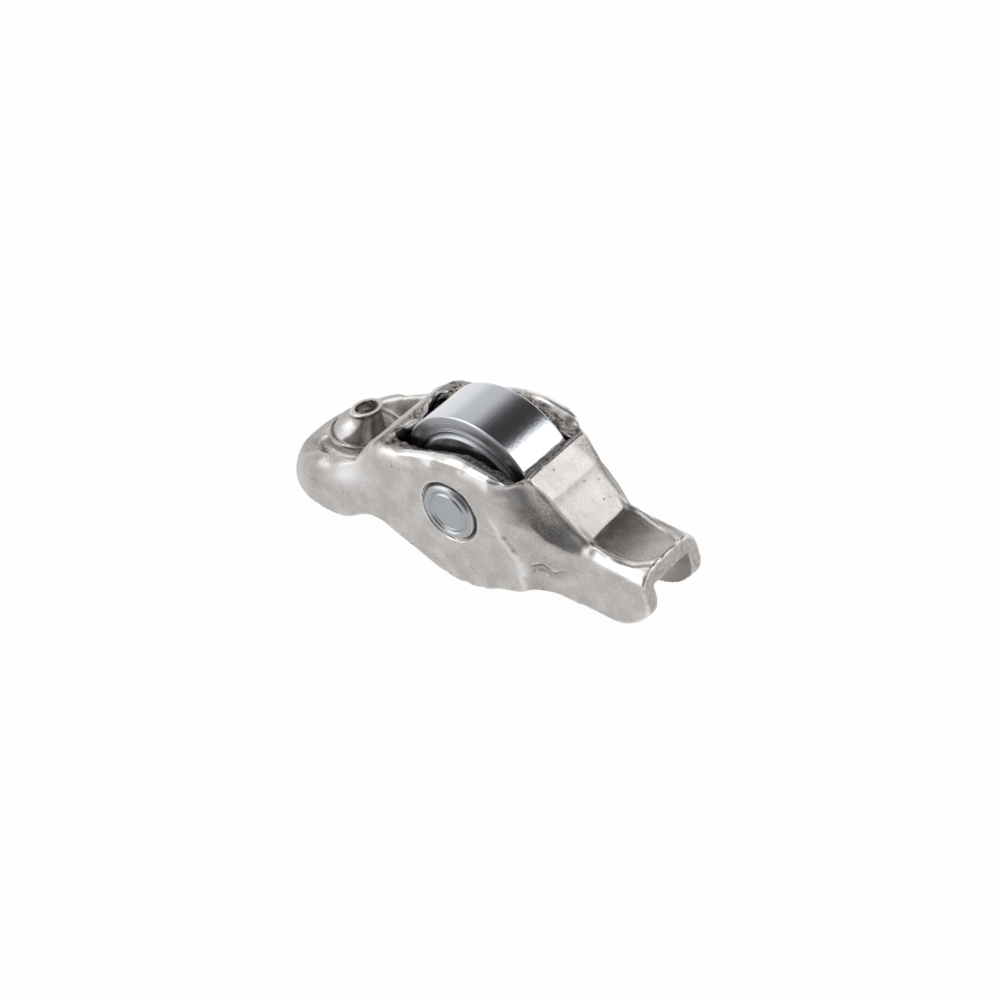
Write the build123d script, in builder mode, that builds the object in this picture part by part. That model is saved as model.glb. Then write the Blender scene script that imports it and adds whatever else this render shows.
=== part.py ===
from build123d import *
import math
import os

# Roller finger follower: a pressed steel rocker arm with a cam roller on loose needle rollers.
# Frame: origin at the middle of the roller axle, +X towards the valve tip, +Y across, +Z up
# towards the cam. The arm rests on its socket skirt and on the bellies of its side walls.

# ---- roller, needles and axle (mm) ----
ROLLER_DIAMETER = 17.5
ROLLER_WIDTH = 6.8
HUB_PROUD = 0.28                # the hub stands this far out of each end face
HUB_LIP = 1.8                   # width of the flat hub ring around the needle track
FACE_STEP = 0.28                # radial width of the turned groove outside the hub ring
FACE_STEP_DEPTH = 0.12
FACE_FALL = 0.1                 # the end face falls this far towards its edge
ROLLER_EDGE = 0.25              # rounding of the running face's edges
AXLE_DIAMETER = 6.3
AXLE_PROUD = 0.28               # axle ends stand this far out of the walls
AXLE_EDGE = 0.3
STAKE_RADIUS = 2.3              # middle of the ring left by the staking tool
STAKE_WIDTH = 0.5
STAKE_DEPTH = 0.22
NEEDLE_DIAMETER = 1.4
NEEDLE_LENGTH = 6.9
NEEDLE_EDGE = 0.15
RUNNING_CLEARANCE = 0.04        # radial play on each side of a needle
NEEDLE_GAP = 0.02               # least gap between neighbouring needles
BORE_CLEARANCE = 0.01           # radial room of the axle in the arm's bores

# ---- arm: widths and wall thicknesses (mm) ----
WALL = 3.2                      # side walls
SIDE_CLEARANCE = 0.32           # roller hub to side wall
ROLLER_CLEARANCE = 0.3          # running face to the window's ends
REAR_RIM = 1.65                 # collar's rear wall at the rim
COLLAR_FOOT = 2.7               # its foot in the dish lies this far behind the rim
RIM_FALL = 0.38                 # fall of the sheared rim towards the roller, per mm of width
RIM_EDGE_INSET = 1.0            # the rim's crest lies this far inside the side walls' faces
RIM_DROP = 4.0                  # the rim's rear end lies this far below its front
RAMP_WALL = 1.22                # ramp sheet where it clears the roller
RAMP_WIDTH = 9.1                # flat of the ramp at the rim
RAMP_WAIST_WIDTH = 7.0          # flat of the ramp at its narrowest
TIP_WIDTH = 9.0                 # across the tip flanges
STEM_GAP = 5.6                  # between the tip flanges
TIP_ROUND = 2.44                # bend of the sheet from pad to flange
FLOOR_THICKNESS = 2.4
PAD_THICKNESS = 2.5
RAIL_HEIGHT = 1.8               # crest of the rails over the dish's floor, beside the socket
DISH_HALF = 4.6                 # flat half width beside the oil boss
DISH_FLARE = 0.48               # widening of the dish per mm of height
DISH_CORNER = 2.2               # rounding of the dish in plan, at the collar
BORE_EDGE = 0.24                # countersink of the axle bores
BAY_BACK = 0.1                  # the roller bay below the dish reaches back to this far before the rim's end
SLOPE_BACK = 0.2                # the rim slopes to the window from this far behind the roller bay
SLOPE_FRONT = 1.2               # and up to this far behind the ramp

# ---- arm: lengths along X (mm) ----
PIVOT_DISTANCE = 17.75          # axle to the middle of the ball socket
VALVE_DISTANCE = 17.9           # axle to the middle of the valve pad
PAD_REACH = 3.8                 # middle of the pad to the end of its trough
TIP_REACH = 4.65                # middle of the pad to the nose of the flanges
HEEL_REACH = 1.9                # middle of the ball socket to the front end of the skirt's level edge
BELLY_OFFSET = 0.5              # middle of the bellies in front of the axle
BELLY_HALF = 3.5                # half length of a belly's arc
FLANGE_START = 14.0             # the flanges' level lower edge starts this far in front of the axle
CROWN_START = 3.6               # the pad's crown starts this far behind the middle of the pad

# ---- arm: heights and angles ----
BELLY_BELOW_ROLLER = 0.09       # the bellies stand just proud of the roller
BELLY_RISE = 0.54               # ends of a belly's arc above the resting plane
ARCH_RISE = 2.6                 # top of the arch between skirt and belly above the resting plane
RIM_BELOW_ROLLER = 2.0          # front of the rim below the roller's top
RAMP_ANGLE = 39.5               # fall of the ramp below the horizontal, degrees
RAIL_FALL = 31.0                # fall of the rails over the skirt's round end, degrees
POCKET_FLOOR = -4.45            # floor of the dish around the oil boss
COLLAR_LEAN = 12.7              # the collar's rear wall leans this far towards the roller, degrees
PAD_EDGE_TOP = 1.44
TROUGH_DEPTH = 0.7              # hollow over the valve pad
TROUGH_RADIUS = 9.0
CROWN_RADIUS = 8.5              # underside of the valve pad
FLANGE_DEPTH = 6.5              # lower edge of the flanges below the axle
WINDOW_ANGLE = 42.3             # the window ends where the bay's arc has climbed to this angle, degrees
BAY_LEAN = 35.0                 # the channel under the ramp leaves the roller bay at this angle, degrees

# ---- arm: ball socket and oil boss (mm, degrees) ----
SOCKET_RADIUS = 3.75
SOCKET_CENTRE_DEPTH = 3.85      # centre of the ball below the dish's floor
BOSS_OFFSET = -0.65             # foot of the boss from the middle of the socket
BOSS_LEAN = 13.0                # the boss leans towards the roller
BOSS_FOOT_RADIUS = 3.3
BOSS_TOP_RADIUS = 1.7
BOSS_HEIGHT = 4.5
BOSS_LIP = 0.6                  # height of the rounded lip
OIL_HOLE_RADIUS = 1.2

# ---- derived ----
roller_r = ROLLER_DIAMETER / 2
roller_half = ROLLER_WIDTH / 2
axle_r = AXLE_DIAMETER / 2
needle_r = NEEDLE_DIAMETER / 2
pitch_r = axle_r + RUNNING_CLEARANCE + needle_r
track_r = pitch_r + needle_r + RUNNING_CLEARANCE
needle_count = int(math.pi / math.asin((needle_r + NEEDLE_GAP / 2) / pitch_r))
hub_half = roller_half + HUB_PROUD
window_half = hub_half + SIDE_CLEARANCE
arm_half = window_half + WALL
axle_half = arm_half + AXLE_PROUD
bay_r = roller_r + ROLLER_CLEARANCE
rest_z = -roller_r - BELLY_BELOW_ROLLER
below = rest_z - arm_half       # safely under the whole arm
above = roller_r + WALL         # safely over it
outside = -PIVOT_DISTANCE - arm_half - SIDE_CLEARANCE   # just behind it
tip_half = TIP_WIDTH / 2
stem_half = STEM_GAP / 2
pivot_x = -PIVOT_DISTANCE
rear_rim_x = -bay_r - REAR_RIM
collar_foot_x = rear_rim_x - COLLAR_FOOT
tip_nose = VALVE_DISTANCE + TIP_REACH
pad_end = VALVE_DISTANCE + PAD_REACH
ramp_sin = math.sin(math.radians(RAMP_ANGLE))
ramp_cos = math.cos(math.radians(RAMP_ANGLE))
ramp_d = bay_r + RAMP_WALL      # distance of the ramp's outer face from the axle
rim_front_z = roller_r - RIM_BELOW_ROLLER
rim_front_x = (ramp_d - ramp_cos * rim_front_z) / ramp_sin
ramp_foot_x = (ramp_d - ramp_cos * PAD_EDGE_TOP) / ramp_sin
pad_low = PAD_EDGE_TOP - TROUGH_DEPTH - PAD_THICKNESS
ahead = tip_nose + SIDE_CLEARANCE   # just in front of the arm
flange_z = -FLANGE_DEPTH
ceiling_z = POCKET_FLOOR - FLOOR_THICKNESS

# Free curves, each point as shares of the run and of the rise between the curve's ends.
RIM_WAVE = [(0.14, 0.15), (0.245, 0.1), (0.35, 0.088), (0.46, 0.175), (0.58, 0.363), (0.69, 0.575),
            (0.775, 0.713), (0.855, 0.775), (0.925, 0.85), (0.984, 1)]
RAIL_WAVE = [(0.131, 0.111), (0.35, 0.556), (0.733, 0.833)]
ARCH_WAVE = [(0.265, 0.577), (0.459, 1), (0.642, 0.808)]
SWEEP_WAVE = [(0.23, 0.617), (0.46, 1.006), (0.72, 1.139)]
NOSE_WAVE = [(0.59, 0.12), (0.86, 0.277), (1, 0.428), (0.925, 0.655)]
BELL_WAVE = [(0.28, 0.145), (0.75, 0.55)]
LIP_WAVE = [(0.3, 0.667)]


def between(start, end, share):
    """Value at a share of the way from start to end."""
    return start + share * (end - start)


def curve_points(start, end, wave):
    """Points between two (x, z) corners, each placed by its shares of the run and of the rise."""
    return [(between(start[0], end[0], run), between(start[1], end[1], rise)) for run, rise in wave]


rim_start = (rim_front_x, rim_front_z)
rim_end = (rear_rim_x, rim_front_z - RIM_DROP)
rim_points = curve_points(rim_start, rim_end, RIM_WAVE)
rail_end = (pivot_x, POCKET_FLOOR + RAIL_HEIGHT)
rail_fall = math.tan(math.radians(RAIL_FALL))


def ramp_z(x):
    """Height of the ramp's outer face at x, no lower than the pad's edge."""
    return max((ramp_d - ramp_sin * x) / ramp_cos, PAD_EDGE_TOP)


# ---- arm body: side view of skirt, belly, flange, nose, pad, ramp, rim and rail ----
heel_end = (pivot_x + HEEL_REACH, rest_z)
arch_top = (BELLY_OFFSET - BELLY_HALF, rest_z + ARCH_RISE)
belly_start = (BELLY_OFFSET - BELLY_HALF, rest_z + BELLY_RISE)
belly_end = (BELLY_OFFSET + BELLY_HALF, rest_z + BELLY_RISE)
flange_start = (FLANGE_START, flange_z)
flange_end = (VALVE_DISTANCE, flange_z)
skirt_end = (outside, POCKET_FLOOR + RAIL_HEIGHT + (outside - pivot_x) * rail_fall)
with BuildPart() as side_form:
    with BuildSketch(Plane.XZ):
        with BuildLine():
            heel = Line((outside, rest_z), heel_end)
            Spline(heel_end, *curve_points(heel_end, arch_top, ARCH_WAVE), belly_start,
                   tangents=[(1, 0), (1, -0.3)])
            ThreePointArc(belly_start, (BELLY_OFFSET, rest_z), belly_end)
            Spline(belly_end, *curve_points(belly_end, flange_start, SWEEP_WAVE), flange_start,
                   tangents=[(1, 0.31), (1, 0)])
            Line(flange_start, flange_end)
            Spline(flange_end, *curve_points(flange_end, (tip_nose, PAD_EDGE_TOP), NOSE_WAVE),
                   (pad_end, PAD_EDGE_TOP), tangents=[(1, 0), (-0.1, 1)])
            Polyline((pad_end, PAD_EDGE_TOP), (ramp_foot_x, PAD_EDGE_TOP), rim_start)
            rim_crest = Spline(rim_start, *rim_points)
            Spline(rim_crest @ 1, *curve_points(rim_points[-1], rail_end, RAIL_WAVE), rail_end,
                   tangents=[rim_crest % 1, (-1, -rail_fall)])
            Polyline(rail_end, skirt_end, heel @ 0)
        make_face()
    extrude(amount=arm_half + WALL, both=True)

# ---- arm body: sections across the arm, from the socket to the tip ----
# Each station: x, half width on top, half width and height of the shoulder, top, hollow of the flank.
ramp_half = RAMP_WIDTH / 2
waist_half = RAMP_WAIST_WIDTH / 2
crest_half = arm_half - RIM_EDGE_INSET
rim_low = rim_front_z - 3.0     # trough of the rim's wave
rail_half = crest_half - 1.2    # top of the rails beside the socket
rail_top = POCKET_FLOOR + 2.25
rail_shoulder = POCKET_FLOOR - 0.55
STATIONS = [
    (pivot_x, rail_half, arm_half, rail_shoulder, rail_top, -0.72),
    (pivot_x + 3.25, rail_half + 0.5, arm_half, POCKET_FLOOR + 1.15, POCKET_FLOOR + 3.9, -0.55),
    (rear_rim_x - 0.8, crest_half - 1.6, arm_half, POCKET_FLOOR + 3.3, POCKET_FLOOR + 6.9, -0.6),
    (rear_rim_x + 1.6, crest_half - 0.8, arm_half, rim_low - 2.6, rim_low + 0.4, -0.5),
    (-5.0, crest_half - 0.4, arm_half, rim_low - 1.8, rim_low + 1.1, -0.4),
    (0.0, crest_half + 0.1, arm_half, rim_front_z - 2.8, rim_front_z + 0.2, -0.3),
    (3.0, crest_half + 0.1, arm_half, rim_front_z - 3.0, rim_front_z + 0.5, -0.3),
    (rim_front_x - 2.4, crest_half - 0.4, arm_half, rim_front_z - 4.7, rim_front_z + 0.5, -0.5),
    (rim_front_x, ramp_half, arm_half - 0.2, rim_front_z - 6.2, rim_front_z + 0.4, -0.3),
    (rim_front_x + 2.0, between(waist_half, ramp_half, 0.45), between(tip_half, arm_half, 0.63),
     ramp_z(rim_front_x + 2.0) - 4.4, ramp_z(rim_front_x + 2.0) + 0.4, 0.0),
    (rim_front_x + 3.8, waist_half, between(tip_half, arm_half, 0.33),
     ramp_z(rim_front_x + 3.8) - 2.8, ramp_z(rim_front_x + 3.8) + 0.4, 0.3),
    (ramp_foot_x - 1.0, waist_half + 0.1, between(tip_half, arm_half, 0.11),
     PAD_EDGE_TOP - 1.45, ramp_z(ramp_foot_x - 1.0) + 0.4, 0.3),
    (ramp_foot_x + 1.0, tip_half - TIP_ROUND, tip_half, PAD_EDGE_TOP - TIP_ROUND, PAD_EDGE_TOP + 0.04, -0.7),
]
LONG_SECTIONS = 37


def slope_at(index, column):
    """Slope of a column of the stations: level at both ends and at a crest, else the harmonic mean."""
    if index in (0, len(STATIONS) - 1):
        return 0.0
    before, here, after = STATIONS[index - 1:index + 2]
    slope_in = (here[column] - before[column]) / (here[0] - before[0])
    slope_out = (after[column] - here[column]) / (after[0] - here[0])
    if slope_in * slope_out <= 0:
        return 0.0
    return 2 * slope_in * slope_out / (slope_in + slope_out)


def section_at(x):
    """Section at x, on smooth curves with no overshoot through the stations on either side."""
    index = max(i for i in range(len(STATIONS) - 1) if STATIONS[i][0] <= x)
    start, end = STATIONS[index:index + 2]
    run = end[0] - start[0]
    share = (x - start[0]) / run
    section = [x]
    for column in range(1, len(start)):
        value = (2 * share ** 3 - 3 * share ** 2 + 1) * start[column]
        value += (3 * share ** 2 - 2 * share ** 3) * end[column]
        value += (share ** 3 - 2 * share ** 2 + share) * run * slope_at(index, column)
        value += (share ** 3 - share ** 2) * run * slope_at(index + 1, column)
        section.append(value)
    return section


def flank_middle(top_half, shoulder_half, shoulder_z, top_z, hollow):
    """Middle point of a flank: halfway up its chord, pushed inwards by the hollow."""
    across = shoulder_half - top_half
    rise = top_z - shoulder_z
    chord = math.hypot(across, rise)
    return (top_half + across / 2 - hollow * rise / chord, shoulder_z + rise / 2 - hollow * across / chord)


def cross_section(x, top_half, middle, shoulder_half, shoulder_z, top_z):
    """Closed section of the arm at x: straight sides, a flank through its middle point and a flat top."""
    mid_y, mid_z = middle
    with BuildSketch(Plane.YZ.offset(x)) as section:
        with BuildLine():
            base = Line((-shoulder_half, below), (shoulder_half, below))
            right = Line(base @ 1, (shoulder_half, shoulder_z))
            right_flank = Spline(right @ 1, (mid_y, mid_z), (top_half, top_z))
            top = Line(right_flank @ 1, (-top_half, top_z))
            left_flank = Spline(top @ 1, (-mid_y, mid_z), (-shoulder_half, shoulder_z))
            Line(left_flank @ 1, base @ 0)
        make_face()
    return section.sketch


long_start, long_end = STATIONS[0][0], STATIONS[-1][0]
with BuildPart() as long_form:
    for step in range(LONG_SECTIONS):
        x, top_half, shoulder_half, shoulder_z, top_z, hollow = section_at(
            between(long_start, long_end, step / (LONG_SECTIONS - 1)))
        middle = flank_middle(top_half, shoulder_half, shoulder_z, top_z, hollow)
        add(cross_section(x, top_half, middle, shoulder_half, shoulder_z, top_z))
    loft()

# ---- arm body: rounded end of the skirt; its shoulder is a quarter ellipse that falls with the rails ----
END_SECTIONS = 12
END_TURN = 80.0                 # the last section lies this far round the end, degrees
RIDGE_HALF = 0.2                # least half width of a section's top
shoulder_width = arm_half - rail_half
shoulder_rise = rail_top - rail_shoulder
with BuildPart() as end_form:
    for step in range(END_SECTIONS):
        reach = arm_half * math.sin(math.radians(END_TURN * step / (END_SECTIONS - 1)))
        fall = reach * rail_fall
        turn = math.asin(max(reach - rail_half, 0) / shoulder_width)
        mid_turn = (turn + math.pi / 2) / 2
        mid_r = rail_half + shoulder_width * math.sin(mid_turn)
        mid_z = rail_shoulder + shoulder_rise * math.cos(mid_turn) - fall
        middle = (math.sqrt(mid_r ** 2 - reach ** 2), mid_z)
        top_half = math.sqrt(max(rail_half ** 2 - reach ** 2, 0)) + RIDGE_HALF
        add(cross_section(pivot_x - reach, top_half, middle, math.sqrt(arm_half ** 2 - reach ** 2),
                          rail_shoulder - fall, rail_shoulder + shoulder_rise * math.cos(turn) - fall))
    loft()

# ---- arm body: tip, a strip bent down at both sides, as the last station ----
tip_x, tip_top_half, _, tip_shoulder_z, tip_top_z, tip_hollow = STATIONS[-1]
with BuildPart() as tip_form:
    middle = flank_middle(tip_top_half, tip_half, tip_shoulder_z, tip_top_z, tip_hollow)
    add(cross_section(tip_x, tip_top_half, middle, tip_half, tip_shoulder_z, tip_top_z))
    extrude(amount=ahead - tip_x, dir=(1, 0, 0))

# ---- cutter: dish around the boss, a flared channel with a round end and the collar's rear wall ----
dish_depth = above - POCKET_FLOOR
dish_mouth = DISH_HALF + DISH_FLARE * dish_depth
with BuildPart() as dish:
    with BuildSketch(Plane.YZ.offset(pivot_x)):
        with BuildLine():
            Polyline((-DISH_HALF, POCKET_FLOOR), (DISH_HALF, POCKET_FLOOR), (dish_mouth, above),
                     (-dish_mouth, above), close=True)
        make_face()
    extrude(amount=PIVOT_DISTANCE)
    with BuildSketch(Plane.XZ):
        with BuildLine():
            Polyline((pivot_x, POCKET_FLOOR), (pivot_x, above), (pivot_x - dish_mouth, above),
                     (pivot_x - DISH_HALF, POCKET_FLOOR), close=True)
        make_face()
    revolve(axis=Axis((pivot_x, 0, 0), (0, 0, 1)))
    with BuildSketch(Plane.XY.offset(POCKET_FLOOR)):
        with BuildLine():
            Polyline((outside, -arm_half), (collar_foot_x, -arm_half), (collar_foot_x, arm_half),
                     (outside, arm_half), close=True)
        make_face()
        fillet(vertices().sort_by(Axis.X)[-2:], DISH_CORNER)
    extrude(amount=dish_depth, taper=-COLLAR_LEAN, mode=Mode.INTERSECT)

# ---- cutter: slope of the sheared rim towards the window, highest on the crest line ----
SLOPE_OVERRUN = 0.8             # the cutter starts this far outside the crest line
slope_rise = SLOPE_OVERRUN * RIM_FALL
slope_back = -bay_r - SLOPE_BACK
slope_front = rim_front_x - SLOPE_FRONT
with BuildPart() as rim_slope:
    with BuildSketch(Plane.XZ.offset(crest_half + SLOPE_OVERRUN)):
        with BuildLine():
            crest = Spline(*[(x, z + slope_rise) for x, z in [rim_start, *rim_points]])
            Polyline(crest @ 1, ((crest @ 1).X, above), (rim_front_x, above), crest @ 0)
        make_face()
        with Locations(((slope_back + slope_front) / 2, above / 2)):
            Rectangle(slope_front - slope_back, 2 * above, mode=Mode.INTERSECT)
    extrude(amount=(WALL + 2 * SLOPE_OVERRUN) * math.hypot(1, RIM_FALL), dir=(0, 1, -RIM_FALL))
    mirror(about=Plane.XZ)

# ---- boss over the ball socket: bell-shaped, with a rounded lip around the oil hole ----
boss_foot = Vector(pivot_x + BOSS_OFFSET, 0, POCKET_FLOOR)
boss_dir = Vector(math.sin(math.radians(BOSS_LEAN)), 0, math.cos(math.radians(BOSS_LEAN)))
boss_root = FLOOR_THICKNESS / 2
boss_edge = (BOSS_FOOT_RADIUS, 0)
lip_edge = (BOSS_TOP_RADIUS, BOSS_HEIGHT - BOSS_LIP)
boss_mouth = (OIL_HOLE_RADIUS, BOSS_HEIGHT)
boss_plane = Plane(origin=boss_foot, x_dir=Vector(boss_dir.Z, 0, -boss_dir.X), z_dir=(0, -1, 0))
with BuildPart() as boss:
    with BuildSketch(boss_plane):
        with BuildLine():
            Polyline((0, -boss_root), (BOSS_FOOT_RADIUS, -boss_root), boss_edge)
            Spline(boss_edge, *curve_points(boss_edge, lip_edge, BELL_WAVE), lip_edge,
                   tangents=[(-0.6, 1), (-0.1, 1)])
            Spline(lip_edge, *curve_points(lip_edge, boss_mouth, LIP_WAVE), boss_mouth)
            Polyline(boss_mouth, (0, BOSS_HEIGHT), (0, -boss_root))
        make_face()
    revolve(axis=Axis(boss_foot, boss_dir))

# ---- cutter: axle bores with countersunk mouths ----
bore_r = axle_r + BORE_CLEARANCE
mouth_start = arm_half - BORE_EDGE
with BuildPart() as bores:
    with BuildSketch(Plane.XY):
        with BuildLine():
            Polyline((0, 0), (bore_r, 0), (bore_r, mouth_start), (bore_r + WALL, mouth_start + WALL),
                     (0, mouth_start + WALL), close=True)
        make_face()
        mirror(about=Plane.XZ)
    revolve(axis=Axis.Y)

# ---- cutter: channel under the ramp and pad, between the flanges ----
bay_corner = (bay_r * math.cos(math.radians(BAY_LEAN)), bay_r * math.sin(math.radians(BAY_LEAN)))


def crown_z(x):
    """Height of the pad's crowned underside at x."""
    return pad_low + CROWN_RADIUS - math.sqrt(CROWN_RADIUS ** 2 - (x - VALVE_DISTANCE) ** 2)


crown_start = VALVE_DISTANCE - CROWN_START
neck_x = between(bay_r, ramp_foot_x, 0.5)
neck_half = between(stem_half, window_half, 0.5)
with BuildPart() as channel:
    with BuildSketch(Plane.XZ):
        with BuildLine():
            under_ramp = Line(bay_corner, (crown_start, crown_z(crown_start)))
            crown = ThreePointArc(under_ramp @ 1, (VALVE_DISTANCE, pad_low), (ahead, crown_z(ahead)))
            Polyline(crown @ 1, (ahead, below), (roller_r / 2, below), (roller_r / 2, 0), bay_corner)
        make_face()
    extrude(amount=window_half, both=True)
    with BuildSketch(Plane.XY.offset(below)):
        with BuildLine():
            Polyline((0, 0), (0, window_half), (bay_r, window_half))
            Spline((bay_r, window_half), (neck_x, neck_half), (ramp_foot_x, stem_half),
                   tangents=[(1, 0), (1, 0)])
            Polyline((ramp_foot_x, stem_half), (ahead, stem_half), (ahead, 0), (0, 0))
        make_face()
        mirror(about=Plane.XZ)
    extrude(amount=above - below, mode=Mode.INTERSECT)

# ---- arm body: the pressed arm in one piece ----
bay_back = rear_rim_x + BAY_BACK
window_front = bay_r * math.cos(math.radians(WINDOW_ANGLE))
with BuildPart() as arm_body:
    add(long_form.part)
    add(end_form.part)
    add(tip_form.part)
    add(side_form.part, mode=Mode.INTERSECT)
    add(dish.part, mode=Mode.SUBTRACT)
    add(rim_slope.part, mode=Mode.SUBTRACT)
    add(boss.part)
    # trough over the valve pad
    with BuildSketch(Plane.XZ):
        with Locations((VALVE_DISTANCE, PAD_EDGE_TOP - TROUGH_DEPTH + TROUGH_RADIUS)):
            Circle(TROUGH_RADIUS)
    extrude(amount=arm_half, both=True, mode=Mode.SUBTRACT)
    # roller bay with the window over it
    with BuildSketch(Plane.XZ):
        with BuildLine():
            Polyline((bay_back, below), (bay_back, POCKET_FLOOR), (-bay_r, POCKET_FLOOR / 4),
                     (-bay_r, above), (0, above), (0, below), close=True)
        make_face()
        Circle(bay_r)
        with Locations((window_front / 2, (above + below) / 2)):
            Rectangle(window_front, above - below)
    extrude(amount=window_half, both=True, mode=Mode.SUBTRACT)
    add(channel.part, mode=Mode.SUBTRACT)
    # hollow of the skirt, joined to the roller bay
    with BuildSketch(Plane.XY.offset(below)):
        with Locations((pivot_x, 0)):
            Circle(window_half)
        with Locations((pivot_x / 2, 0)):
            Rectangle(PIVOT_DISTANCE, 2 * window_half)
    extrude(amount=ceiling_z - below, mode=Mode.SUBTRACT)
    # ball socket and oil hole
    with Locations((pivot_x, 0, POCKET_FLOOR - SOCKET_CENTRE_DEPTH)):
        Sphere(SOCKET_RADIUS, mode=Mode.SUBTRACT)
    with BuildSketch(Plane(origin=boss_foot - FLOOR_THICKNESS * boss_dir, z_dir=boss_dir)):
        Circle(OIL_HOLE_RADIUS)
    extrude(amount=FLOOR_THICKNESS + BOSS_HEIGHT + BOSS_LIP, mode=Mode.SUBTRACT)
    add(bores.part, mode=Mode.SUBTRACT)

# ---- roller axle: hardened pin, ring-staked at both ends ----
with BuildPart() as roller_axle:
    with BuildSketch(Plane.XY):
        with BuildLine():
            Polyline((0, 0), (axle_r, 0), (axle_r, axle_half - AXLE_EDGE), (axle_r - AXLE_EDGE, axle_half),
                     (STAKE_RADIUS + STAKE_WIDTH / 2, axle_half), (STAKE_RADIUS, axle_half - STAKE_DEPTH),
                     (STAKE_RADIUS - STAKE_WIDTH / 2, axle_half), (0, axle_half), close=True)
        make_face()
        mirror(about=Plane.XZ)
    revolve(axis=Axis.Y)

# ---- cam roller: outer race with a proud hub and a turned groove in each end face ----
hub_r = track_r + HUB_LIP
groove_r = hub_r + HUB_PROUD
face_r = groove_r + FACE_STEP
with BuildPart() as cam_roller:
    with BuildSketch(Plane.XY):
        with BuildLine():
            Polyline((track_r, 0), (track_r, hub_half), (hub_r, hub_half), (groove_r, roller_half),
                     (groove_r, roller_half - FACE_STEP_DEPTH), (face_r, roller_half - FACE_STEP_DEPTH),
                     (face_r, roller_half), (roller_r - ROLLER_EDGE, roller_half - FACE_FALL))
            RadiusArc((roller_r - ROLLER_EDGE, roller_half - FACE_FALL),
                      (roller_r, roller_half - FACE_FALL - ROLLER_EDGE), ROLLER_EDGE)
            Polyline((roller_r, roller_half - FACE_FALL - ROLLER_EDGE), (roller_r, 0), (track_r, 0))
        make_face()
        mirror(about=Plane.XZ)
    revolve(axis=Axis.Y)

# ---- needle rollers: a full row around the axle ----
needles = []
for index in range(needle_count):
    angle = 2 * math.pi * index / needle_count
    with BuildPart() as needle:
        with BuildSketch(Plane.XZ.offset(-NEEDLE_LENGTH / 2)):
            with Locations((pitch_r * math.cos(angle), pitch_r * math.sin(angle))):
                Circle(needle_r)
        extrude(amount=NEEDLE_LENGTH)
        chamfer(needle.edges().filter_by(GeomType.CIRCLE), NEEDLE_EDGE)
    needle.part.label = f"needle_{index + 1:02d}"
    needles.append(needle.part)

arm_body.part.label = "arm_body"
roller_axle.part.label = "roller_axle"
cam_roller.part.label = "cam_roller"

os.makedirs("parts", exist_ok=True)
export_step(arm_body.part, "parts/arm_body.step")
export_step(roller_axle.part, "parts/roller_axle.step")
export_step(cam_roller.part, "parts/cam_roller.step")
for needle_part in needles:
    export_step(needle_part, f"parts/{needle_part.label}.step")
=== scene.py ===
"""Looks of a roller finger follower: a pressed steel arm, a cam roller on needles and its staked axle.

Every length in the classes below is in millimetres, and is turned into metres when a mesh is made.
The frame has its origin at the middle of the roller axle, +X towards the valve tip, +Z up.
"""

import logging
import math
from dataclasses import dataclass
from enum import Enum

import bmesh
import bpy
import numpy as np
from mathutils import Matrix, Vector


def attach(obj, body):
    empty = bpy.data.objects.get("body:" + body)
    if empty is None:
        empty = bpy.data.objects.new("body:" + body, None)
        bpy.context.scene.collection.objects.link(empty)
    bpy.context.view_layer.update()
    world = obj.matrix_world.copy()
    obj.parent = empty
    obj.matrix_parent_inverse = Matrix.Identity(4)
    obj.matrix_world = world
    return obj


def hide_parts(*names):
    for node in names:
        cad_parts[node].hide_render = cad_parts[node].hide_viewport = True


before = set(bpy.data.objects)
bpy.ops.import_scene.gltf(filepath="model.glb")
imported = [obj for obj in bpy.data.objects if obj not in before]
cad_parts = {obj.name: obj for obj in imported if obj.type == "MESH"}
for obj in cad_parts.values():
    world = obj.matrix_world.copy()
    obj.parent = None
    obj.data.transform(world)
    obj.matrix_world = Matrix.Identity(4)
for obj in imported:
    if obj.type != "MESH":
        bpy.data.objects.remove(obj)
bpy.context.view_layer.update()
MM = 0.001
LOG = logging.getLogger("follower")

Array = np.ndarray
Colour = tuple[float, float, float]
Curve = tuple[tuple[float, ...], tuple[float, ...]]
Layers = tuple[tuple[float, float, int], ...]
Mesh = bpy.types.Mesh
Node = bpy.types.Node
Piece = bpy.types.Object
Socket = bpy.types.NodeSocket
Tree = bpy.types.NodeTree

HASH_PRIMES = (73856093, 19349663, 83492791, 2654435761)
HASH_MIX = 1274126177


# ---------------------------------------------------------------- numpy helpers

def smoothstep(low: Array | float, high: Array | float, value: Array) -> Array:
    """Rises from 0 at low to 1 at high along 3t^2 - 2t^3; low may be the larger of the two."""
    t = np.clip((value - low) / (high - low), 0.0, 1.0)
    return t * t * (3.0 - 2.0 * t)


def plateau(value: Array, start: float, full: float, leave: Array | float, end: Array | float) -> Array:
    """1 from full to leave and 0 outside start and end: a smoothstep up times a smoothstep down."""
    return smoothstep(start, full, value) * smoothstep(end, leave, value)


def bell(value: Array, width: float) -> Array:
    """Gaussian bump of the given half width: exp(-(value / width)^2)."""
    return np.exp(-(value / width) ** 2)


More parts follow.
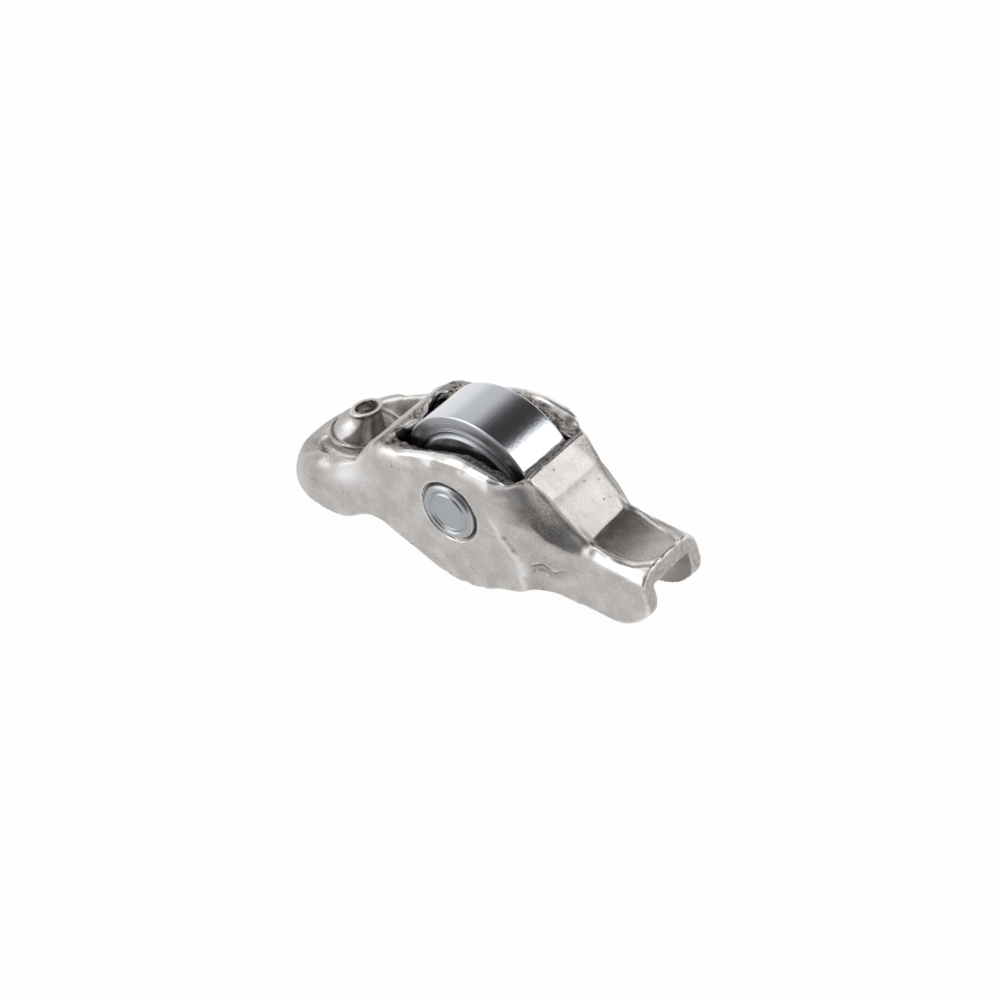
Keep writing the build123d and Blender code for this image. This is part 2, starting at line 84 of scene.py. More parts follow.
def lattice_noise(points: Array, cell: float, seed: int) -> Array:
    """Smooth noise between -1 and 1 on a cubic lattice.

    Each lattice corner holds a hashed value, and a point takes the mix of its eight corners by the
    smoothstep of its place in the cell.

    Args:
        points: n by 3 places.
        cell: edge of a lattice cell.
        seed: picks one pattern.

    Returns:
        One value for each point.
    """
    x_prime, y_prime, z_prime, seed_prime = HASH_PRIMES
    scaled = points / cell
    corner = np.floor(scaled).astype(np.int64)
    t = scaled - corner
    t = t * t * (3.0 - 2.0 * t)
    total = np.zeros(len(points))
    for dx in (0, 1):
        for dy in (0, 1):
            for dz in (0, 1):
                x, y, z = corner[:, 0] + dx, corner[:, 1] + dy, corner[:, 2] + dz
                key = (x * x_prime) ^ (y * y_prime) ^ (z * z_prime) ^ (seed * seed_prime)
                key = (key ^ (key >> 13)) * HASH_MIX
                value = ((key ^ (key >> 16)) & 0xFFFF) / 32767.5 - 1.0
                weight = (t[:, 0] if dx else 1 - t[:, 0]) * (t[:, 1] if dy else 1 - t[:, 1])
                total += value * weight * (t[:, 2] if dz else 1 - t[:, 2])
    return total


def layered_noise(points: Array, cell: float, seed: int) -> Array:
    """Three lattice noises summed, each at half the cell and half the weight of the one before."""
    return sum(lattice_noise(points, cell / 2 ** layer, seed + layer) / 2 ** layer for layer in range(3))


def noise_sum(points: Array, layers: Layers) -> Array:
    """Sum of lattice noises, each layer given by its weight, cell and seed."""
    return sum(weight * lattice_noise(points, cell, seed) for weight, cell, seed in layers)


def distance_to_path(points: Array, path: Array) -> Array:
    """Distance of plane points to a polyline: the least of their distances to its spans.

    Args:
        points: n by 2 places.
        path: m by 2 corners of the polyline.

    Returns:
        One distance for each point.
    """
    best = np.full(len(points), np.inf)
    for start, end in zip(path[:-1], path[1:]):
        run = end - start
        share = np.clip(((points - start) @ run) / (run @ run), 0.0, 1.0)
        offset = points - start - share[:, None] * run
        best = np.minimum(best, np.hypot(offset[:, 0], offset[:, 1]))
    return best


# ---------------------------------------------------------------- meshes

def mesh_from_arrays(name: str, vertices: Array, faces: Array) -> Mesh:
    """Makes a mesh, shaded smooth.

    Args:
        name: the mesh's name.
        vertices: n by 3 places in millimetres.
        faces: corners of each face, all of the same count.

    Returns:
        The new mesh, in metres.
    """
    mesh = bpy.data.meshes.new(name)
    corners = faces.shape[1]
    mesh.vertices.add(len(vertices))
    mesh.vertices.foreach_set("co", (vertices * MM).astype(np.float32).ravel())
    mesh.loops.add(faces.size)
    mesh.loops.foreach_set("vertex_index", faces.astype(np.int32).ravel())
    mesh.polygons.add(len(faces))
    mesh.polygons.foreach_set("loop_start", np.arange(0, faces.size, corners, dtype=np.int32))
    mesh.polygons.foreach_set("use_smooth", np.ones(len(faces), bool))
    mesh.update(calc_edges=True)
    mesh.validate()
    return mesh


def link_piece(name: str, mesh: Mesh) -> Piece:
    """Puts a mesh into the scene.

    Args:
        name: the object's name.
        mesh: the mesh that it shows.

    Returns:
        The object, at the origin.
    """
    piece = bpy.data.objects.new(name, mesh)
    bpy.context.scene.collection.objects.link(piece)
    return piece


def mesh_arrays(mesh: Mesh) -> tuple[Array, Array]:
    """Reads a mesh of quads.

    Args:
        mesh: the mesh, in metres.

    Returns:
        Its vertices in millimetres and its four-cornered faces.
    """
    vertices = np.empty(len(mesh.vertices) * 3, np.float32)
    mesh.vertices.foreach_get("co", vertices)
    faces = np.empty(len(mesh.loops), np.int32)
    mesh.loops.foreach_get("vertex_index", faces)
    return vertices.reshape(-1, 3).astype(float) / MM, faces.reshape(-1, 4)


def vertex_normals(vertices: Array, faces: Array) -> Array:
    """Sums the cross products of the diagonals of the quads around each vertex.

    Args:
        vertices: n by 3 places.
        faces: m by 4 corners.

    Returns:
        The n unit normals.
    """
    first, second, third, fourth = (vertices[faces[:, corner]] for corner in range(4))
    across = np.cross(third - first, fourth - second)
    normals = np.zeros_like(vertices)
    for axis in range(3):
        for corner in range(4):
            normals[:, axis] += np.bincount(faces[:, corner], across[:, axis], len(vertices))
    return normals / np.maximum(np.linalg.norm(normals, axis=1, keepdims=True), 1e-12)


class Neighbours:
    """Mean of each vertex's neighbours along the edges of a quad mesh."""

    def __init__(self, faces: Array, count: int) -> None:
        """Lists both ends of each edge once.

        Args:
            faces: m by 4 corners.
            count: number of vertices.
        """
        ends = np.concatenate([faces[:, [i, (i + 1) % 4]] for i in range(4)])
        ends = np.unique(np.sort(ends, axis=1), axis=0)
        self.start = np.concatenate([ends[:, 0], ends[:, 1]])
        self.end = np.concatenate([ends[:, 1], ends[:, 0]])
        self.count = count
        self.degree = np.maximum(np.bincount(self.start, minlength=count), 1)

    def mean(self, values: Array) -> Array:
        """Mean of the neighbours' values.

        Args:
            values: one value or one row for each vertex.

        Returns:
            The means, in the same shape.
        """
        if values.ndim == 1:
            return np.bincount(self.start, values[self.end], self.count) / self.degree
        return np.stack([self.mean(values[:, i]) for i in range(values.shape[1])], axis=1)

    def fair(self, values: Array, rounds: int) -> Array:
        """Smooths without shrinking: a step of 0.5 towards the mean, then one of 0.53 away from it.

        Args:
            values: one row for each vertex.
            rounds: how often both steps are made.

        Returns:
            The smoothed rows.
        """
        for _ in range(rounds):
            values = values + 0.5 * (self.mean(values) - values)
            values = values - 0.53 * (self.mean(values) - values)
        return values

    def relax(self, values: Array, weight: Array | float, rounds: int) -> Array:
        """Moves each value towards its neighbours' mean by weight, several times.

        Args:
            values: one value or one row for each vertex.
            weight: share of the way, one for all or one for each vertex.
            rounds: how often the step is made.

        Returns:
            The smoothed values.
        """
        share = weight[:, None] if isinstance(weight, np.ndarray) and values.ndim == 2 else weight
        for _ in range(rounds):
            values = values + share * (self.mean(values) - values)
        return values


def rounded_outline(corners: list[tuple[float, float, float]], steps: int = 6, closed: bool = True) -> Array:
    """Outline whose corners are replaced by parabolic arcs.

    A corner with rounding r is cut back by r on both sides, but by no more than 0.49 of a span. The
    arc between the two cuts is the quadratic curve (1-t)^2 a + 2t(1-t) corner + t^2 b.

    Args:
        corners: radius of the turned part, place along its axis, and rounding at each corner.
        steps: points on each arc.
        closed: whether the last corner joins the first.

    Returns:
        n by 2 points of radius and place.
    """
    places = np.array([c[:2] for c in corners], float)
    share = np.linspace(0.0, 1.0, steps)[:, None]
    points = []
    for index, (here, (_, _, rounding)) in enumerate(zip(places, corners)):
        if rounding <= 0 or (not closed and index in (0, len(corners) - 1)):
            points.append(here[None])
            continue
        before, after = places[index - 1] - here, places[(index + 1) % len(corners)] - here
        start, end = (here + away / np.linalg.norm(away) * min(rounding, np.linalg.norm(away) * 0.49)
                      for away in (before, after))
        points.append((1 - share) ** 2 * start + 2 * share * (1 - share) * here + share ** 2 * end)
    return np.concatenate(points)


def refined(outline: Array, pitch: float, closed: bool = True) -> Array:
    """Cuts the long spans of an outline into even steps.

    Args:
        outline: n by 2 points.
        pitch: longest step.
        closed: whether the last point joins the first.

    Returns:
        The outline with the added points.
    """
    ends = np.roll(outline, -1, axis=0) if closed else outline[1:]
    pieces = []
    for start, end in zip(outline, ends):
        count = max(int(math.ceil(np.linalg.norm(end - start) / pitch)), 1)
        pieces.append(start + (end - start) * (np.arange(count) / count)[:, None])
    if not closed:
        pieces.append(outline[-1:])
    return np.concatenate(pieces)


def grid_faces(rows: int, columns: int, closed: bool) -> Array:
    """Quads of a grid whose last column joins its first.

    Args:
        rows: points along the outline.
        columns: points round the axis.
        closed: whether the last row joins the first as well.

    Returns:
        m by 4 corners.
    """
    row = np.arange(rows if closed else rows - 1)[:, None]
    column = np.arange(columns)[None, :]
    following, beside = (row + 1) % rows, (column + 1) % columns
    return np.stack([row * columns + column, following * columns + column,
                     following * columns + beside, row * columns + beside], axis=-1).reshape(-1, 4)


def turned_mesh(name: str, outline: Array, segments: int, closed: bool) -> Mesh:
    """Surface of revolution about the Y axis.

    The point of outline row i at angle a is (r_i sin a, y_i, r_i cos a). A closed outline makes a
    ring. An open one starts and ends on the axis, and its two poles are fans of thin quads whose
    inner corners are merged into one vertex.

    Args:
        name: the mesh's name.
        outline: n by 2 points of radius and place along Y.
        segments: points round the axis.
        closed: whether the outline's last point joins its first.

    Returns:
        The new mesh.
    """
    angle = np.linspace(0.0, 2 * np.pi, segments, endpoint=False)
    radius, along = outline[:, :1], outline[:, 1:]
    grid = np.stack([radius * np.sin(angle), along + 0 * angle, radius * np.cos(angle)], axis=-1)
    mesh = mesh_from_arrays(name, grid.reshape(-1, 3), grid_faces(len(outline), segments, closed))
    if not closed:
        merge_doubles(mesh, 1e-7)
    return mesh


def merge_doubles(mesh: Mesh, distance: float) -> None:
    """Merges near vertices and turns all faces outwards.

    Args:
        mesh: the mesh that is changed.
        distance: nearest distance that two vertices keep, in the mesh's units.
    """
    work = bmesh.new()
    work.from_mesh(mesh)
    bmesh.ops.remove_doubles(work, verts=work.verts, dist=distance)
    bmesh.ops.recalc_face_normals(work, faces=work.faces)
    work.to_mesh(mesh)
    work.free()
    mesh.update()


def store(mesh: Mesh, name: str, values: Array) -> None:
    """Keeps one value for each vertex as an attribute of the mesh."""
    layer = mesh.attributes.new(name, "FLOAT", "POINT")
    layer.data.foreach_set("value", values.astype(np.float32))


# ---------------------------------------------------------------- node graphs

class Graph:
    """Builds a node tree from short calls."""

    def __init__(self, tree: Tree) -> None:
        """Starts on an empty tree."""
        self.tree = tree
        tree.nodes.clear()

    def feed(self, node: Node, inputs: dict) -> None:
        """Gives a node its inputs.

        Args:
            node: the node that takes them.
            inputs: sockets to link or values to set, by the input's name or index.
        """
        for key, value in inputs.items():
            if isinstance(value, Socket):
                self.tree.links.new(value, node.inputs[key])
            else:
                node.inputs[key].default_value = value

    def node(self, kind: str, inputs: dict | None = None, **settings: object) -> Node:
        """Adds a node.

        Args:
            kind: the node's type.
            inputs: values or sockets by the input's name or index.
            settings: the node's own properties.

        Returns:
            The new node.
        """
        made = self.tree.nodes.new(kind)
        for key, value in settings.items():
            setattr(made, key, value)
        self.feed(made, inputs or {})
        return made

    def math(self, operation: str, *values: object) -> Socket:
        """Result of a Math node on values or sockets."""
        return self.node("ShaderNodeMath", dict(enumerate(values)), operation=operation).outputs[0]

    def times(self, first: object, second: object) -> Socket:
        """Product of two values or sockets."""
        return self.math("MULTIPLY", first, second)

    def plus(self, first: object, second: object) -> Socket:
        """Sum of two values or sockets."""
        return self.math("ADD", first, second)

    def minus(self, first: object, second: object) -> Socket:
        """Difference of two values or sockets."""
        return self.math("SUBTRACT", first, second)

    def vector(self, operation: str, *values: object) -> Node:
        """A Vector Math node on values or sockets."""
        return self.node("ShaderNodeVectorMath", dict(enumerate(values)), operation=operation)

    def noise(self, place: Socket, scale: object, detail: float, roughness: float) -> Socket:
        """Noise between 0 and 1 at a place."""
        inputs = {"Vector": place, "Scale": scale, "Detail": detail, "Roughness": roughness}
        return self.node("ShaderNodeTexNoise", inputs).outputs[0]

    def ramp(self, value: object, low: float, high: float, to_low: float = 0.0,
             to_high: float = 1.0) -> Socket:
        """Smooth step of a value from to_low at low to to_high at high."""
        inputs = {"Value": value, "From Min": low, "From Max": high, "To Min": to_low, "To Max": to_high}
        return self.node("ShaderNodeMapRange", inputs, interpolation_type="SMOOTHSTEP").outputs[0]

    def mix(self, share: object, first: object, second: object) -> Socket:
        """Value mixed from first to second by share."""
        return self.node("ShaderNodeMix", {0: share, 2: first, 3: second}, data_type="FLOAT").outputs[0]

    def blend(self, share: object, first: object, second: object) -> Socket:
        """Colour mixed from first to second by share."""
        first, second = (c if isinstance(c, Socket) else (*c, 1.0) for c in (first, second))
        return self.node("ShaderNodeMix", {0: share, 6: first, 7: second}, data_type="RGBA").outputs[2]

    def attribute(self, name: str) -> Socket:
        """The piece's own point value of that name."""
        return self.node("ShaderNodeAttribute", attribute_name=name, attribute_type="GEOMETRY").outputs["Fac"]


def effect_group(name: str, outputs: tuple[str, ...], **inputs: float) -> tuple[Graph, Node, Node]:
    """Starts a shared node group, whose first input is the place as a Vector.

    Args:
        name: the group's name.
        outputs: names of the values that it gives.
        inputs: its other inputs with their defaults.

    Returns:
        Its graph, its input node and its output node.
    """
    tree = bpy.data.node_groups.new(name, "ShaderNodeTree")
    tree.interface.new_socket("Vector", in_out="INPUT", socket_type="NodeSocketVector")
    for label, default in inputs.items():
        socket = tree.interface.new_socket(label, in_out="INPUT", socket_type="NodeSocketFloat")
        socket.default_value = default
    for label in outputs:
        tree.interface.new_socket(label, in_out="OUTPUT", socket_type="NodeSocketFloat")
    graph = Graph(tree)
    return graph, graph.node("NodeGroupInput"), graph.node("NodeGroupOutput")


def tumbled_grain() -> Tree:
    """Shared effect: the height of the fine irregular grain of tumbled steel.

    Returns:
        The node group: a fine noise plus 0.8 of a coarse one.
    """
    graph, source, sink = effect_group("tumbled_grain", ("Height",), Pitch=0.25)
    scale = graph.math("DIVIDE", 1.0 / MM, source.outputs["Pitch"])
    fine = graph.noise(source.outputs["Vector"], scale, 4.0, 0.62)
    coarse = graph.noise(source.outputs["Vector"], graph.times(scale, 0.19), 3.0, 0.55)
    graph.feed(sink, {"Height": graph.plus(fine, graph.times(coarse, 0.8))})
    return graph.tree


def scattered_pits() -> Tree:
    """Shared effect: small pits, each a dip about the middle of a random cell.

    Returns:
        The node group: its mask is 1 within a share of the cell that chance picks, in about half of
        the cells, and its height is the mask turned down.
    """
    graph, source, sink = effect_group("scattered_pits", ("Mask", "Height"), Pitch=1.2, Radius=0.16)
    place = source.outputs["Vector"]
    scale = graph.math("DIVIDE", 1.0 / MM, source.outputs["Pitch"])
    warp = graph.node("ShaderNodeTexNoise", {"Vector": place, "Scale": 3200.0, "Detail": 2.0})
    moved = graph.vector("MULTIPLY_ADD", warp.outputs["Color"], (0.3 * MM,) * 3, place).outputs[0]
    cells = graph.node("ShaderNodeTexVoronoi", {"Vector": moved, "Scale": scale, "Randomness": 1.0},
                       feature="F1")
    chance = graph.node("ShaderNodeSeparateColor", {"Color": cells.outputs["Color"]})
    inner = graph.times(source.outputs["Radius"], chance.outputs[0])
    depth = graph.math("DIVIDE", cells.outputs["Distance"], graph.plus(inner, 0.01))
    mask = graph.times(graph.ramp(depth, 1.0, 0.55), graph.ramp(chance.outputs[1], 0.45, 0.55))
    graph.feed(sink, {"Mask": mask, "Height": graph.times(mask, -1.0)})
    return graph.tree


def turned_rings() -> Tree:
    """Shared effect: fine rings about the Y axis.

    Returns:
        The node group: its height is a one-dimensional noise of the radius, the root of x^2 + z^2,
        and the radius comes in millimetres.
    """
    graph, source, sink = effect_group("turned_rings", ("Height", "Radius"), Pitch=0.1)
    split = graph.node("ShaderNodeSeparateXYZ", {"Vector": source.outputs["Vector"]})
    square = graph.plus(*(graph.math("POWER", split.outputs[axis], 2.0) for axis in "XZ"))
    radius = graph.math("DIVIDE", graph.math("SQRT", square), MM)
    turns = graph.math("DIVIDE", radius, source.outputs["Pitch"])
    rings = graph.node("ShaderNodeTexNoise", {"W": turns, "Scale": 1.0, "Detail": 3.0, "Roughness": 0.6},
                       noise_dimensions="1D")
    graph.feed(sink, {"Height": rings.outputs[0], "Radius": radius})
    return graph.tree


def grinding_lines() -> Tree:
    """Shared effect: fine lines around a cylinder about the Y axis.

    Returns:
        The node group: its height is a noise of y that changes 50 times slower along x and z.
    """
    graph, source, sink = effect_group("grinding_lines", ("Height",), Pitch=0.05)
    scale = graph.math("DIVIDE", 1.0 / MM, source.outputs["Pitch"])
    stretched = graph.vector("MULTIPLY", source.outputs["Vector"], (0.02, 1.0, 0.02)).outputs[0]
    graph.feed(sink, {"Height": graph.noise(stretched, scale, 3.0, 0.6)})
    return graph.tree


class Effect(Enum):
    """The shared effects, by the name of their node group."""

    GRAIN = "tumbled_grain"
    PITS = "scattered_pits"
    RINGS = "turned_rings"
    LINES = "grinding_lines"


EFFECT_MAKERS = {Effect.GRAIN: tumbled_grain, Effect.PITS: scattered_pits,
                 Effect.RINGS: turned_rings, Effect.LINES: grinding_lines}


def place_effect(graph: Graph, effect: Effect, vector: Socket, **values: float) -> Node:
    """Places a shared effect in a material, and builds its group the first time."""
    tree = bpy.data.node_groups.get(effect.value) or EFFECT_MAKERS[effect]()
    return graph.node("ShaderNodeGroup", {"Vector": vector, **values}, node_tree=tree)


def new_material(name: str) -> tuple[bpy.types.Material, Graph, Socket]:
    """Starts a material.

    Args:
        name: the material's name.

    Returns:
        The material, its empty graph, and the Object coordinates in it.
    """
    material = bpy.data.materials.new(name)
    material.use_nodes = True
    graph = Graph(material.node_tree)
    return material, graph, graph.node("ShaderNodeTexCoord").outputs["Object"]


def close_material(graph: Graph, shader: Node) -> None:
    """Links the shader to the material's output."""
    graph.node("ShaderNodeOutputMaterial", {"Surface": shader.outputs[0]})


def close_metal(graph: Graph, tone: Socket, rough: Socket, height: Socket) -> None:
    """Closes a material as bare metal.

    Args:
        graph: the material's graph.
        tone: its colour.
        rough: its roughness.
        height: its relief, in metres.
    """
    bump = graph.node("ShaderNodeBump", {"Strength": 1.0, "Distance": 1.0, "Height": height})
    inputs = {"Base Color": tone, "Roughness": rough, "Metallic": 1.0, "Normal": bump.outputs[0]}
    close_material(graph, graph.node("ShaderNodeBsdfPrincipled", inputs))


# ---------------------------------------------------------------- finishes

@dataclass(frozen=True)
class PressedSteel:
    """Tumbled satin steel of the arm, with polished edges, torn shear faces, painted highlights, and painted
    shade in its recesses and creases.

    The three heights are the depth of the grain, the pits and the torn faces.
    """

    tone: Colour = (0.50, 0.478, 0.462)
    pale: Colour = (0.61, 0.592, 0.58)
    burnish_and_highlight: Colour = (0.86, 0.85, 0.85)
    shear_light: Colour = (0.44, 0.40, 0.37)
    shear_dark: Colour = (0.075, 0.064, 0.058)
    stain_and_shade_tone: Colour = (0.15, 0.13, 0.115)
    deep_shade: Colour = (0.02, 0.02, 0.02)
    roughness: float = 0.33
    polished: float = 0.22
    torn: float = 0.45
    grain_height: float = 0.007
    pit_height: float = 0.03
    torn_height: float = 0.06

    def build(self) -> bpy.types.Material:
        """Makes the material from the arm's own masks and the shared grain and pits.

        Returns:
            The material.
        """
        material, graph, place = new_material("arm_steel")
        edge, shear, recess_shade, stain_and_shade = (graph.attribute(name) for name in ("edge", "shear", "recess_shade", "stain_and_shade"))
        grain = place_effect(graph, Effect.GRAIN, place, Pitch=0.26)
        pits = place_effect(graph, Effect.PITS, place, Pitch=1.0, Radius=0.16)
        specks = place_effect(graph, Effect.PITS, place, Pitch=0.42, Radius=0.2)
        blotch = graph.noise(place, 420.0, 5.0, 0.6)
        torn = graph.noise(place, 2300.0, 5.0, 0.7)
        dust = graph.noise(place, 6500.0, 3.0, 0.7)

        base = graph.blend(graph.ramp(blotch, 0.38, 0.66), self.tone, self.pale)
        # Dark stains, specks and pits; through the stain-and-shade mask also painted shade in the dish,
        # trough, folds and beside the ramp.
        spotted = graph.times(stain_and_shade, graph.ramp(dust, 0.66, 0.42, 0.15, 0.75))
        for share in (graph.ramp(dust, 0.58, 0.40, 0.0, 0.2), spotted,
                      graph.times(specks.outputs["Mask"], 0.45), graph.times(pits.outputs["Mask"], 0.5)):
            base = graph.blend(share, base, self.stain_and_shade_tone)
        ragged = graph.blend(graph.ramp(torn, 0.40, 0.60), self.shear_dark, self.shear_light)
        base = graph.blend(shear, base, ragged)
        # Painted shade: the bay, the channel, the inner corners, the neck under the boss's lip and the axle's
        # seat darken, going near black where the mask is full.
        shade_share = graph.times(recess_shade, graph.ramp(blotch, 0.2, 0.6, 0.75, 1.0))
        base = graph.blend(shade_share, base, self.stain_and_shade_tone)
        base = graph.blend(graph.ramp(recess_shade, 0.85, 1.0), base, self.deep_shade)
        # Edges polished by tumbling, plus painted highlights on the rubbed patches, lighten towards the
        # bright tone.
        base = graph.blend(graph.times(edge, 0.9), base, self.burnish_and_highlight)

        rough = graph.plus(self.roughness, graph.times(graph.minus(blotch, 0.5), 0.2))
        rough = graph.plus(rough, graph.times(shear, self.torn - self.roughness))
        rough = graph.minus(rough, graph.times(edge, self.roughness - self.polished))
        height = graph.plus(graph.times(grain.outputs["Height"], self.grain_height * MM),
                            graph.times(pits.outputs["Height"], self.pit_height * MM))
        height = graph.plus(height, graph.times(graph.times(torn, shear), self.torn_height * MM))
        close_metal(graph, base, rough, height)
        return material


@dataclass(frozen=True)
class GroundSteel:
    """Ground and polished bearing steel: turned end faces and a finely ground running face.

    The three heights are the depth of the turned rings, the grinding lines and the grain.
    """

    name: str
    tone: Colour
    end_tone: Colour
    polish: float
    end_polish: float
    rim_radius: float
    ring_tone: Colour = (0.8, 0.8, 0.82)
    ring_height: float = 0.008
    line_height: float = 0.0012
    grain_height: float = 0.012

    def build(self) -> bpy.types.Material:
        """Makes the material; the running face starts where the radius reaches rim_radius.

        Returns:
            The material.
        """
        material, graph, place = new_material(self.name)
        rings = place_effect(graph, Effect.RINGS, place, Pitch=0.11)
        lines = place_effect(graph, Effect.LINES, place, Pitch=0.05)
        grain = place_effect(graph, Effect.GRAIN, place, Pitch=0.3)
        haze = graph.noise(place, 700.0, 4.0, 0.6)
        running = graph.ramp(rings.outputs["Radius"], self.rim_radius - 0.1, self.rim_radius)
        tone = graph.blend(running, self.end_tone, self.tone)
        tone = graph.blend(graph.ramp(rings.outputs["Height"], 0.35, 0.7, 0.0, 0.25), tone, self.ring_tone)
        rough = graph.mix(running, self.end_polish, self.polish)
        rough = graph.plus(rough, graph.times(graph.minus(haze, 0.5), 0.07))
        on_ends = graph.times(rings.outputs["Height"], graph.minus(1.0, running))
        on_face = graph.times(lines.outputs["Height"], running)
        height = graph.plus(graph.times(on_ends, self.ring_height * MM),
                            graph.times(on_face, self.line_height * MM))
        height = graph.plus(height, graph.times(grain.outputs["Height"], self.grain_height * MM))
        close_metal(graph, tone, rough, height)
        return material


# ---------------------------------------------------------------- the arm

@dataclass
class ArmSkin:
    """The arm's joined skin, and for each vertex what its masks are worked out from."""

    vertices: Array
    faces: Array
    links: Neighbours
    shear: Array
    on_sleeve: Array
    boss_radius: Array
    boss_rise: Array


@dataclass
class PressedArm:
    """The pressed arm: the solid's form, with rounded bends, torn rims, wavy sheet and folded walls.

    A size that ends in rise, sink, groove or back says how far the steel stands out or steps back. A
    layer of noise holds its weight, cell and seed. A curve holds places and then its values there:
    the waist goes up the boss's axis and the crease up Z, and the window's torn band, the neck's
    ridge and fold, the ramp's bevel and the trough's lip go along X.
    """

    voxel: float = 0.2
    fair_rounds: int = 8
    bend_rounds: int = 4
    window_half: float = 4.0
    bay_radius: float = 9.05
    ramp_start: float = 7.96
    ramp_end: float = 14.4
    boss_foot: tuple[float, float, float] = (-18.4, 0.0, -4.45)
    boss_lean: float = 13.0
    boss_height: float = 4.5
    oil_radius: float = 1.2
    lip_radius: float = 1.72
    mouth_shift: tuple[float, float] = (0.6, 0.3)
    mouth_shear: float = 0.5
    mouth_lowered: float = 0.8
    sleeve_segments: int = 128
    dish_rise: float = 0.6
    crest_rise: float = 0.34
    foot_sink: float = 0.38
    lip_rise: float = 0.13
    lip_groove: float = 0.10
    seat_sink: float = 0.3
    crease_sink: float = 0.3
    crease_rise: float = 0.1
    ridge_rise: float = 0.16
    fold_rise: float = 0.2
    fold_sink: float = 0.28
    lean_slope: float = 0.10
    bar_back: float = 0.42
    sides_back: float = 0.2
    sheet_waves: Layers = ((0.040, 3.6, 3), (0.022, 1.5, 11), (0.008, 0.6, 23))
    tear: Layers = ((0.11, 0.9, 31), (0.06, 0.42, 37))
    line_waver: Layers = ((0.16, 0.9, 71), (0.07, 0.4, 73))
    torn_band: Curve = ((-10.0, -8.7, -6.5, -3.0, 0.0, 2.3, 5.2), (6.2, 5.7, 6.1, 6.1, 5.95, 5.65, 5.3))
    waist: Curve = ((-1.0, 0.0, 0.5, 1.2, 2.4, 3.7, 4.5), (2.7, 2.45, 2.15, 1.85, 1.55, 1.36, 1.33))
    crease: Curve = ((-6.4, -2.4, -1.4, 0.1, 1.9, 4.0), (9.3, 9.1, 8.3, 6.9, 5.6, 4.2))
    ridge: Curve = ((9.2, 10.9, 13.0, 15.0), (2.4, 1.0, -0.1, -0.4))
    fold: Curve = ((9.4, 10.6, 11.8, 13.4), (-3.3, -2.7, -3.4, -3.0))
    bevel: Curve = ((8.0, 10.0, 14.0), (2.2, 2.9, 3.6))
    trough_lip: Curve = ((14.6, 15.6, 17.4, 19.7, 21.3, 22.2), (3.9, 3.45, 3.2, 2.8, 1.9, 0.9))

    def base_mesh(self) -> tuple[Array, Array]:
        """Copies the arm's solid, merges it and rebuilds its skin as even quads.

        Returns:
            The vertices and their faces.
        """
        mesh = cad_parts["arm_body"].data.copy()
        merge_doubles(mesh, 1e-6)
        mesh.transform(Matrix.Scale(1 / MM, 4))
        work = link_piece("arm_work", mesh)
        remesh = work.modifiers.new("skin", "REMESH")
        remesh.mode = "VOXEL"
        remesh.voxel_size = self.voxel
        skin = bpy.data.meshes.new_from_object(work.evaluated_get(bpy.context.evaluated_depsgraph_get()))
        skin.transform(Matrix.Scale(MM, 4))
        vertices, faces = mesh_arrays(skin)
        bpy.data.objects.remove(work)
        bpy.data.meshes.remove(skin)
        bpy.data.meshes.remove(mesh)
        return vertices, faces

    def boss_axis(self) -> Array:
        """Unit vector along the boss, which leans towards +X."""
        lean = math.radians(self.boss_lean)
        return np.array([math.sin(lean), 0.0, math.cos(lean)])

    def boss_place(self, vertices: Array) -> tuple[Array, Array, Array]:
        """Places about the boss.

        Args:
            vertices: places on the arm.

        Returns:
            Distance from the boss's axis, height along it and turn about it.
        """
        axis = self.boss_axis()
        offset = vertices - np.array(self.boss_foot)
        height = offset @ axis
        across = offset - height[:, None] * axis
        return np.linalg.norm(across, axis=1), height, np.arctan2(across[:, 1], across[:, 0])

    def shear_mask(self, vertices: Array, normals: Array) -> Array:
        """Marks the sheared faces: the rim round the window, the boss's mouth and the tip's ends.

        Args:
            vertices: places on the solid's skin.
            normals: the unit normals there.

        Returns:
            1 on the sheared faces, 0 elsewhere.
        """
        x, y, z = vertices.T
        wide = np.abs(y)
        half, front_edge, rear_edge = self.window_half, self.ramp_start, -self.bay_radius
        wander = 0.22 * lattice_noise(vertices, 1.1, 51)
        band = np.interp(x, *self.torn_band) + wander
        sides = plateau(wide, half - 0.3, half, band - 0.15, band + 0.15)
        sides *= plateau(x, -9.6, -9.0, front_edge - 1.0, front_edge - 0.2)
        front = smoothstep(front_edge - 0.05, front_edge - 0.3, x + wander) * smoothstep(6.2, 6.5, x)
        front *= smoothstep(5.6, 5.0, wide)
        rear = smoothstep(rear_edge - 1.75, rear_edge - 1.5, x + 0.6 * wander)
        rear *= smoothstep(rear_edge + 1.4, rear_edge + 1.0, x) * smoothstep(6.4, 5.6, wide)
        rim = smoothstep(0.1, 0.4, normals[:, 2]) * np.maximum.reduce([sides, front, rear])
        radius, height, _ = self.boss_place(vertices)
        mouth = smoothstep(1.4, 1.25, radius) * smoothstep(1.0, 1.4, height)
        tip = 0.35 * smoothstep(0.45, 0.75, normals[:, 0]) * smoothstep(20.6, 21.2, x)
        return np.clip(np.maximum.reduce([rim * smoothstep(1.2, 1.8, z), mouth, tip]), 0.0, 1.0)

